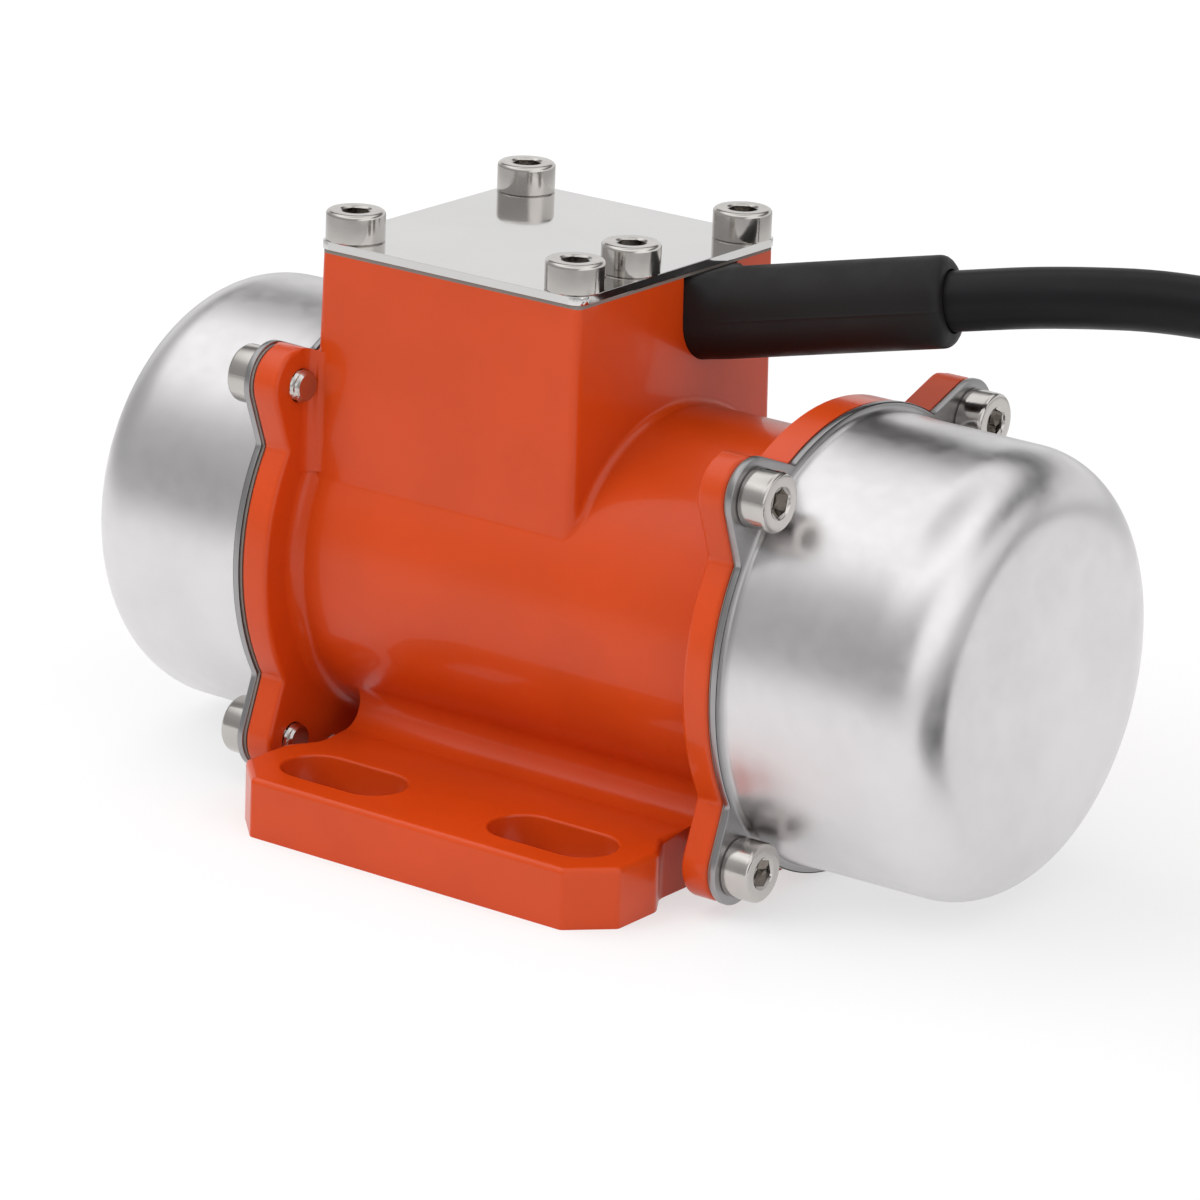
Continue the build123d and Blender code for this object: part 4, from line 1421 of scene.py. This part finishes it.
    @staticmethod
    def closed_tube(rings: Sequence[Sequence[Vector]]) -> bpy.types.Mesh:
        """Joins rings whose last lies on the first, so that outer skin and bore are one closed wall.

        Args:
            rings: The rings, all with as many points.

        Returns:
            The closed mesh, with its faces outwards.
        """
        count = len(rings[0])
        shape = bmesh.new()
        loops = [[shape.verts.new(point) for point in ring] for ring in rings]
        for before, after in zip(loops, loops[1:]):
            for i in range(count):
                j = (i + 1) % count
                shape.faces.new((before[i], before[j], after[j], after[i]))
        bmesh.ops.remove_doubles(shape, verts=shape.verts, dist=SEAM_GAP)
        bmesh.ops.recalc_face_normals(shape, faces=shape.faces)
        mesh = bpy.data.meshes.new("rubber_sleeve")
        shape.to_mesh(mesh)
        shape.free()
        return mesh


@dataclass
class SupplyLead:
    """The supply lead, from inside the junction box to its stripped end on the stored coil.

    The coil has two layers of two turns. Its slots are places in the bundle's section, as (radius, height),
    and the lead climbs from one to the next over a short stretch of the turn. Angles are in degrees.

    Attributes:
        diameter: The lead's thickness.
        exit: Where it leaves the box.
        start: Its inner end.
        route: Its control points from the sleeve's mouth down to the coil.
        radii: The radii of the coil's inner and outer turns.
        heights: The heights of its lower and upper layers.
        landing: The angle at which the lead meets the coil.
        step: The angle between two of the coil's control points.
        wound: The angle that the whole coil is wound through.
        slot_turn: The angle wound in one slot.
        climb: The angle over which the lead moves on to the next slot.
        length: The lead's length in metres.
    """

    diameter: float = 7 * MM
    exit: Point = LEAD_EXIT
    start: Point = in_mm(2.08, 5.33, 57.81)
    route: tuple[Point, ...] = (
        SLEEVE_MOUTH,
        in_mm(48.3, 15.7, 67.1),
        in_mm(62.9, 22.2, 67.9),
        in_mm(83.8, 32.8, 63.8),
        in_mm(102.8, 38.6, 47.1),
        in_mm(115.1, 40.3, 21.9),
        in_mm(134.5, 39.2, 7.2),
        in_mm(156.6, 33.6, 3.5),
    )
    radii: tuple[float, float] = (31.5 * MM, 38.5 * MM)
    heights: tuple[float, float] = (3.5 * MM, 10.5 * MM)
    landing: float = 73.0
    step: float = 22.5
    wound: float = 1190.0
    slot_turn: float = 305.0
    climb: float = 50.0
    length: float = 0.915

    def slots(self) -> list[tuple[float, float, float]]:
        """The coil's slots in order: the wound angle where each starts, its radius and its height.

        Returns:
            One row for each slot.
        """
        (inner, outer), (low, high) = self.radii, self.heights
        places = ((outer, low), (inner, low), (inner, high), (outer, high))
        return [(i * self.slot_turn, *place) for i, place in enumerate(places)]

    def coil_points(self) -> list[Vector]:
        """The coil's turns, worked out slot by slot, as control points.

        Returns:
            The control points.
        """
        tighten = (6 + 2 * math.cos(math.radians(self.step))) / 8
        slots = self.slots()
        points = []
        count = round(self.wound / self.step)
        for i in range(1, count + 1):
            angle = self.wound * i / count
            radius, height = slots[0][1:]
            for start, next_radius, next_height in slots[1:]:
                share = ease((angle - start) / self.climb)
                radius += (next_radius - radius) * share
                height += (next_height - height) * share
            turn = math.radians(self.landing - angle)
            flat = Vector((math.cos(turn), math.sin(turn), 0)) * (radius / tighten)
            points.append(Vector(COIL_CENTRE) + flat + Vector((0, 0, height)))
        return points

    def build(
        self, book: FinishBook, sleeve: bpy.types.Object, nodes: dict[str, bpy.types.Object]
    ) -> None:
        """Args:
            book: The finishes.
            sleeve: The rubber sleeve that it runs through.
            nodes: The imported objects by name.
        """
        points = [Vector(p) for p in (self.start, self.exit, SLEEVE_BEND, *self.route)]
        points += self.coil_points()
        curve = bpy.data.curves.new("supply_lead", "CURVE")
        curve.dimensions = "3D"
        spline = curve.splines.new("NURBS")
        spline.points.add(len(points) - 1)
        for target, point in zip(spline.points, points):
            target.co = (*point, 1.0)
        spline.order_u = 3
        spline.use_endpoint_u = True
        spline.resolution_u = 10
        curve.bevel_depth = self.diameter / 2
        curve.bevel_resolution = 8
        curve.use_fill_caps = True
        curve.materials.append(book["lead_sheath"])
        lead = new_object("supply_lead", curve)
        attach(lead, "root")
        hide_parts("cable_lead", "cable_coil")
        with_pieces = [sleeve, nodes["cable_tie"], nodes["tail_cores"], nodes["tail_ferrules"]]


@dataclass
class Studio:
    """The camera at the photograph's angle, the floor, the soft lights and the surroundings.

    Attributes:
        azimuth: The camera's place round the object, in degrees.
        elevation: Its place above the horizon, in degrees.
        roll: How far it is tilted about its own axis, in degrees.
        focal_share: Its focal length as a share of the picture's width.
        distance: How far it stands from its aim.
        aim_height: The height of the point that camera and lights aim at.
        aim_shift: How far the camera's aim is moved, to its right and up.
        sensor: The width of its sensor, in millimetres.
        floor_half: Half the floor's width.
        floor_colour: The floor's colour.
        floor_glow: The share of plain white in the floor, where it is seen or mirrored.
        floor_fade: The distances over which the mirrored floor gets darker.
        far_floor: How bright the mirrored floor is past them.
        ambient: The strength of the surroundings.
        front_greys: The greys in front of the object, by height.
        side_grey: The grey at its right.
        side_fade: Where the front goes over into it.
        back_greys: The greys behind the object, by height.
        back_fade: Where they start.
        lights: Each light's name, place, size and power. None of them shows in reflections.
    """

    azimuth: float = 35.89484
    elevation: float = 17.8790
    roll: float = 2.16955
    focal_share: float = 6033.16 / 1200
    distance: float = 698.946 * MM
    aim_height: float = 35 * MM
    aim_shift: tuple[float, float] = (-1.19453 * MM, -10.06873 * MM)
    sensor: float = 36.0
    floor_half: float = 4.0
    floor_colour: Colour = (0.9, 0.9, 0.9)
    floor_glow: float = 0.6
    floor_fade: tuple[float, float] = (0.12, 0.5)
    far_floor: float = 0.25
    ambient: float = 0.7
    front_greys: tuple[tuple[float, float], ...] = (
        (0.0, 0.6), (0.3, 0.64), (0.55, 0.8), (0.78, 2.1), (0.92, 1.7), (1.0, 1.0),
    )
    side_grey: float = 1.8
    side_fade: tuple[float, float] = (0.62, 0.85)
    back_greys: tuple[tuple[float, float], ...] = (
        (0.0, 1.3), (0.37, 1.3), (0.43, 0.25), (0.6, 0.3), (0.8, 1.7), (0.92, 1.5), (1.0, 1.0),
    )
    back_fade: tuple[float, float] = (0.1, 0.5)
    lights: tuple[tuple[str, Point, float, float], ...] = (
        ("key_light", (-0.75, -1.05, 0.95), 1.1, 7.0),
        ("top_light", (-0.8, 0.05, 1.25), 1.0, 4.0),
        ("side_light", (1.4, -0.85, 0.5), 1.3, 1.8),
    )

    def camera(self) -> None:
        """Makes the camera."""
        a, e, roll = (math.radians(v) for v in (self.azimuth, self.elevation, self.roll))
        back = Vector((math.sin(a) * math.cos(e), -math.cos(a) * math.cos(e), math.sin(e)))
        right = Vector((math.cos(a), math.sin(a), 0.0))
        up = back.cross(right)
        target = Vector((0, 0, self.aim_height)) + right * self.aim_shift[0] + up * self.aim_shift[1]
        tilted_right = right * math.cos(roll) + up * math.sin(roll)
        tilted_up = up * math.cos(roll) - right * math.sin(roll)
        data = bpy.data.cameras.new("studio_camera")
        data.sensor_width = self.sensor
        data.sensor_fit = "HORIZONTAL"
        data.lens = self.sensor * self.focal_share
        data.clip_start = 0.01
        data.clip_end = 30.0
        camera = new_object("studio_camera", data)
        turn = Matrix((tilted_right, tilted_up, back)).transposed().to_4x4()
        camera.matrix_world = Matrix.Translation(target + back * self.distance) @ turn
        bpy.context.scene.camera = camera

    def floor(self) -> None:
        """Makes the pale floor, which keeps the object's shadow."""
        half = self.floor_half
        mesh = bpy.data.meshes.new("studio_floor")
        corners = [(-half, -half, 0), (half, -half, 0), (half, half, 0), (-half, half, 0)]
        mesh.from_pydata(corners, [], [(0, 1, 2, 3)])
        material = bpy.data.materials.new("studio_floor")
        material.use_nodes = True
        surface = Surface(material.node_tree)
        path = surface.add("ShaderNodeLightPath")
        camera = Signal(surface, path.outputs["Is Camera Ray"])
        seen = camera.math("MAXIMUM", path.outputs["Is Glossy Ray"])
        seen = seen.math("MAXIMUM", path.outputs["Is Transmission Ray"])
        plain = surface.call("ShaderNodeBsdfDiffuse", {"Color": (*self.floor_colour, 1.0)})
        away = surface.call("ShaderNodeVectorMath", {0: surface.pattern()}, "Value", operation="LENGTH")
        mirrored = surface.spread(away, 1.0, self.far_floor, *self.floor_fade)
        strength = camera.math("MAXIMUM", mirrored)
        white = surface.call("ShaderNodeEmission", {"Color": (1.0, 1.0, 1.0, 1.0), "Strength": strength})
        mixed = surface.call("ShaderNodeMixShader", {0: seen * self.floor_glow, 1: plain, 2: white})
        surface.feed(surface.add("ShaderNodeOutputMaterial").inputs["Surface"], mixed)
        mesh.materials.append(material)
        new_object("studio_floor", mesh)

    @staticmethod
    def greys(surface: Surface, height: Signal, stops: Sequence[tuple[float, float]]) -> Signal:
        """A ramp of greys by height.

        Args:
            surface: The tree.
            height: The height's signal.
            stops: The ramp's places and greys.

        Returns:
            The grey.
        """
        ramp = surface.add("ShaderNodeValToRGB")
        surface.feed(ramp.inputs[0], height)
        while len(ramp.color_ramp.elements) < len(stops):
            ramp.color_ramp.elements.new(0.5)
        for element, (place, grey) in zip(ramp.color_ramp.elements, stops):
            element.position = place
            element.color = (grey, grey, grey, 1.0)
        return Signal(surface, ramp.outputs[0])

    def surroundings(self) -> None:
        """Makes the surroundings: a pale backdrop with a dark gap over it, grey in front, bright above."""
        world = bpy.data.worlds.new("studio")
        world.use_nodes = True
        surface = Surface(world.node_tree)
        place = surface.add("ShaderNodeTexCoord").outputs["Generated"]
        side, depth, height = surface.split(place)
        front = self.greys(surface, height, self.front_greys)
        beside = surface.spread(side, 0.0, 1.0, *self.side_fade)
        front = surface.blend(beside, front, (self.side_grey,) * 3)
        back = self.greys(surface, height, self.back_greys)
        mixed = surface.blend(surface.spread(depth, 0.0, 1.0, *self.back_fade), front, back)
        background = surface.call("ShaderNodeBackground", {"Color": mixed, "Strength": self.ambient})
        surface.feed(surface.add("ShaderNodeOutputWorld").inputs["Surface"], background)
        bpy.context.scene.world = world

    def light(self, name: str, place: Point, size: float, power: float) -> None:
        """Adds a square soft light that faces the object and doesn't show in reflections.

        Args:
            name: The light's name.
            place: Where it stands.
            size: The length of its side, in metres.
            power: Its power in watts.
        """
        data = bpy.data.lights.new(name, "AREA")
        data.shape = "SQUARE"
        data.size = size
        data.energy = power
        lamp = new_object(name, data)
        lamp.location = place
        lamp.visible_glossy = False
        aim = Vector((0.0, 0.0, self.aim_height)) - Vector(place)
        lamp.rotation_euler = aim.to_track_quat("-Z", "Y").to_euler()

    def build(self) -> None:
        """Sets the whole studio."""
        self.camera()
        self.floor()
        self.surroundings()
        for light in self.lights:
            self.light(*light)
        bpy.context.scene.view_settings.view_transform = "Standard"


@dataclass
class Motor:
    """The whole motor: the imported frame, and the sub-assemblies that dress it.

    Attributes:
        frame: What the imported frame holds.
        book: The finishes.
        lid_round: How far the lid's edges are rounded.
        lid_screw_inset: How far in from the lid's edges its screws sit.
        fifth_screw_y: Where the lid's fifth screw sits along Y.
        cap_screw_length: The cap screws' length under the head.
        lid_screw_length: The lid screws' length under the head.
        cap_seed: The seed of the cap screws' turning, before the end's sign is added.
        lid_seed: The seed of the lid screws' turning.
    """

    frame: dict[str, Any]
    book: FinishBook = field(default_factory=FinishBook)
    lid_round: float = 0.16 * MM
    lid_screw_inset: float = 3.1 * MM
    fifth_screw_y: float = -5.6 * MM
    cap_screw_length: float = 6.0 * MM
    lid_screw_length: float = 7.0 * MM
    cap_seed: int = 3
    lid_seed: int = 7

    @property
    def nodes(self) -> dict[str, bpy.types.Object]:
        """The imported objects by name."""
        return self.frame["nodes"]

    def dress_nodes(self) -> None:
        """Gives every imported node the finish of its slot."""
        slots = {part["node"]: part["material_slot"] for part in self.frame["record"]["subparts"]}
        for name, solid in self.nodes.items():
            solid.data.materials.clear()
            solid.data.materials.append(self.book[slots[name]])
            slots[name]
        LOG.info("dressed %d packed nodes", len(self.nodes))

    def cap_seats(self, end: End) -> list[Point]:
        """Where the cap screws' heads sit at one end.

        Args:
            end: The end of the motor.

        Returns:
            The four seats.
        """
        low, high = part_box(f"cap_{end.word}")
        x = end.value * (min(abs(low.x), abs(high.x)) + DrawnCap.sheet)
        signs = (-SCREW_OFFSET, SCREW_OFFSET)
        return [(x, y, AXIS_HEIGHT + z) for y in signs for z in signs]

    def lid_seats(self) -> list[Point]:
        """Where the lid screws' heads sit.

        Returns:
            The five seats.
        """
        low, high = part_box("lid_plate")
        inset = self.lid_screw_inset
        left, right = low.x + inset, high.x - inset
        front, back = low.y + inset, high.y - inset
        corners = [(x, y, high.z) for x in (left, right) for y in (front, back)]
        return corners + [(right, self.fifth_screw_y, high.z)]

    def build(self) -> None:
        """Makes every piece, in order."""
        self.dress_nodes()
        sleeve = RubberSleeve().build(self.book)
        report(sleeve)
        SupplyLead().build(self.book, sleeve, self.nodes)
        LOG.info("supply_lead made")
        report(CastHousing().build(self.book, self.nodes["housing"]))
        SoftenedNode("lid_plate", self.lid_round).build(self.nodes)
        LOG.info("lid softened")
        cap_recipe = DrawnCap.recipe()
        screw_recipe = SocketScrews.recipe()
        screws = SocketScrews()
        for end in End:
            report(DrawnCap(end).build(cap_recipe, self.book))
            outwards = (float(end.value), 0.0, 0.0)
            report(screws.build(
                screw_recipe, self.book, f"cap_screws_{end.word}", self.cap_seats(end), outwards,
                self.cap_screw_length, seed=self.cap_seed + end.value,
            ))
        report(screws.build(
            screw_recipe, self.book, "lid_screws", self.lid_seats(), (0.0, 0.0, 1.0),
            self.lid_screw_length, seed=self.lid_seed,
        ))


def main() -> None:
    """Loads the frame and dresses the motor."""
    logging.basicConfig(level=logging.INFO, format="%(message)s")
    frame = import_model()
    Studio().build()
    Motor(frame).build()


if __name__ == "__main__":
    main()
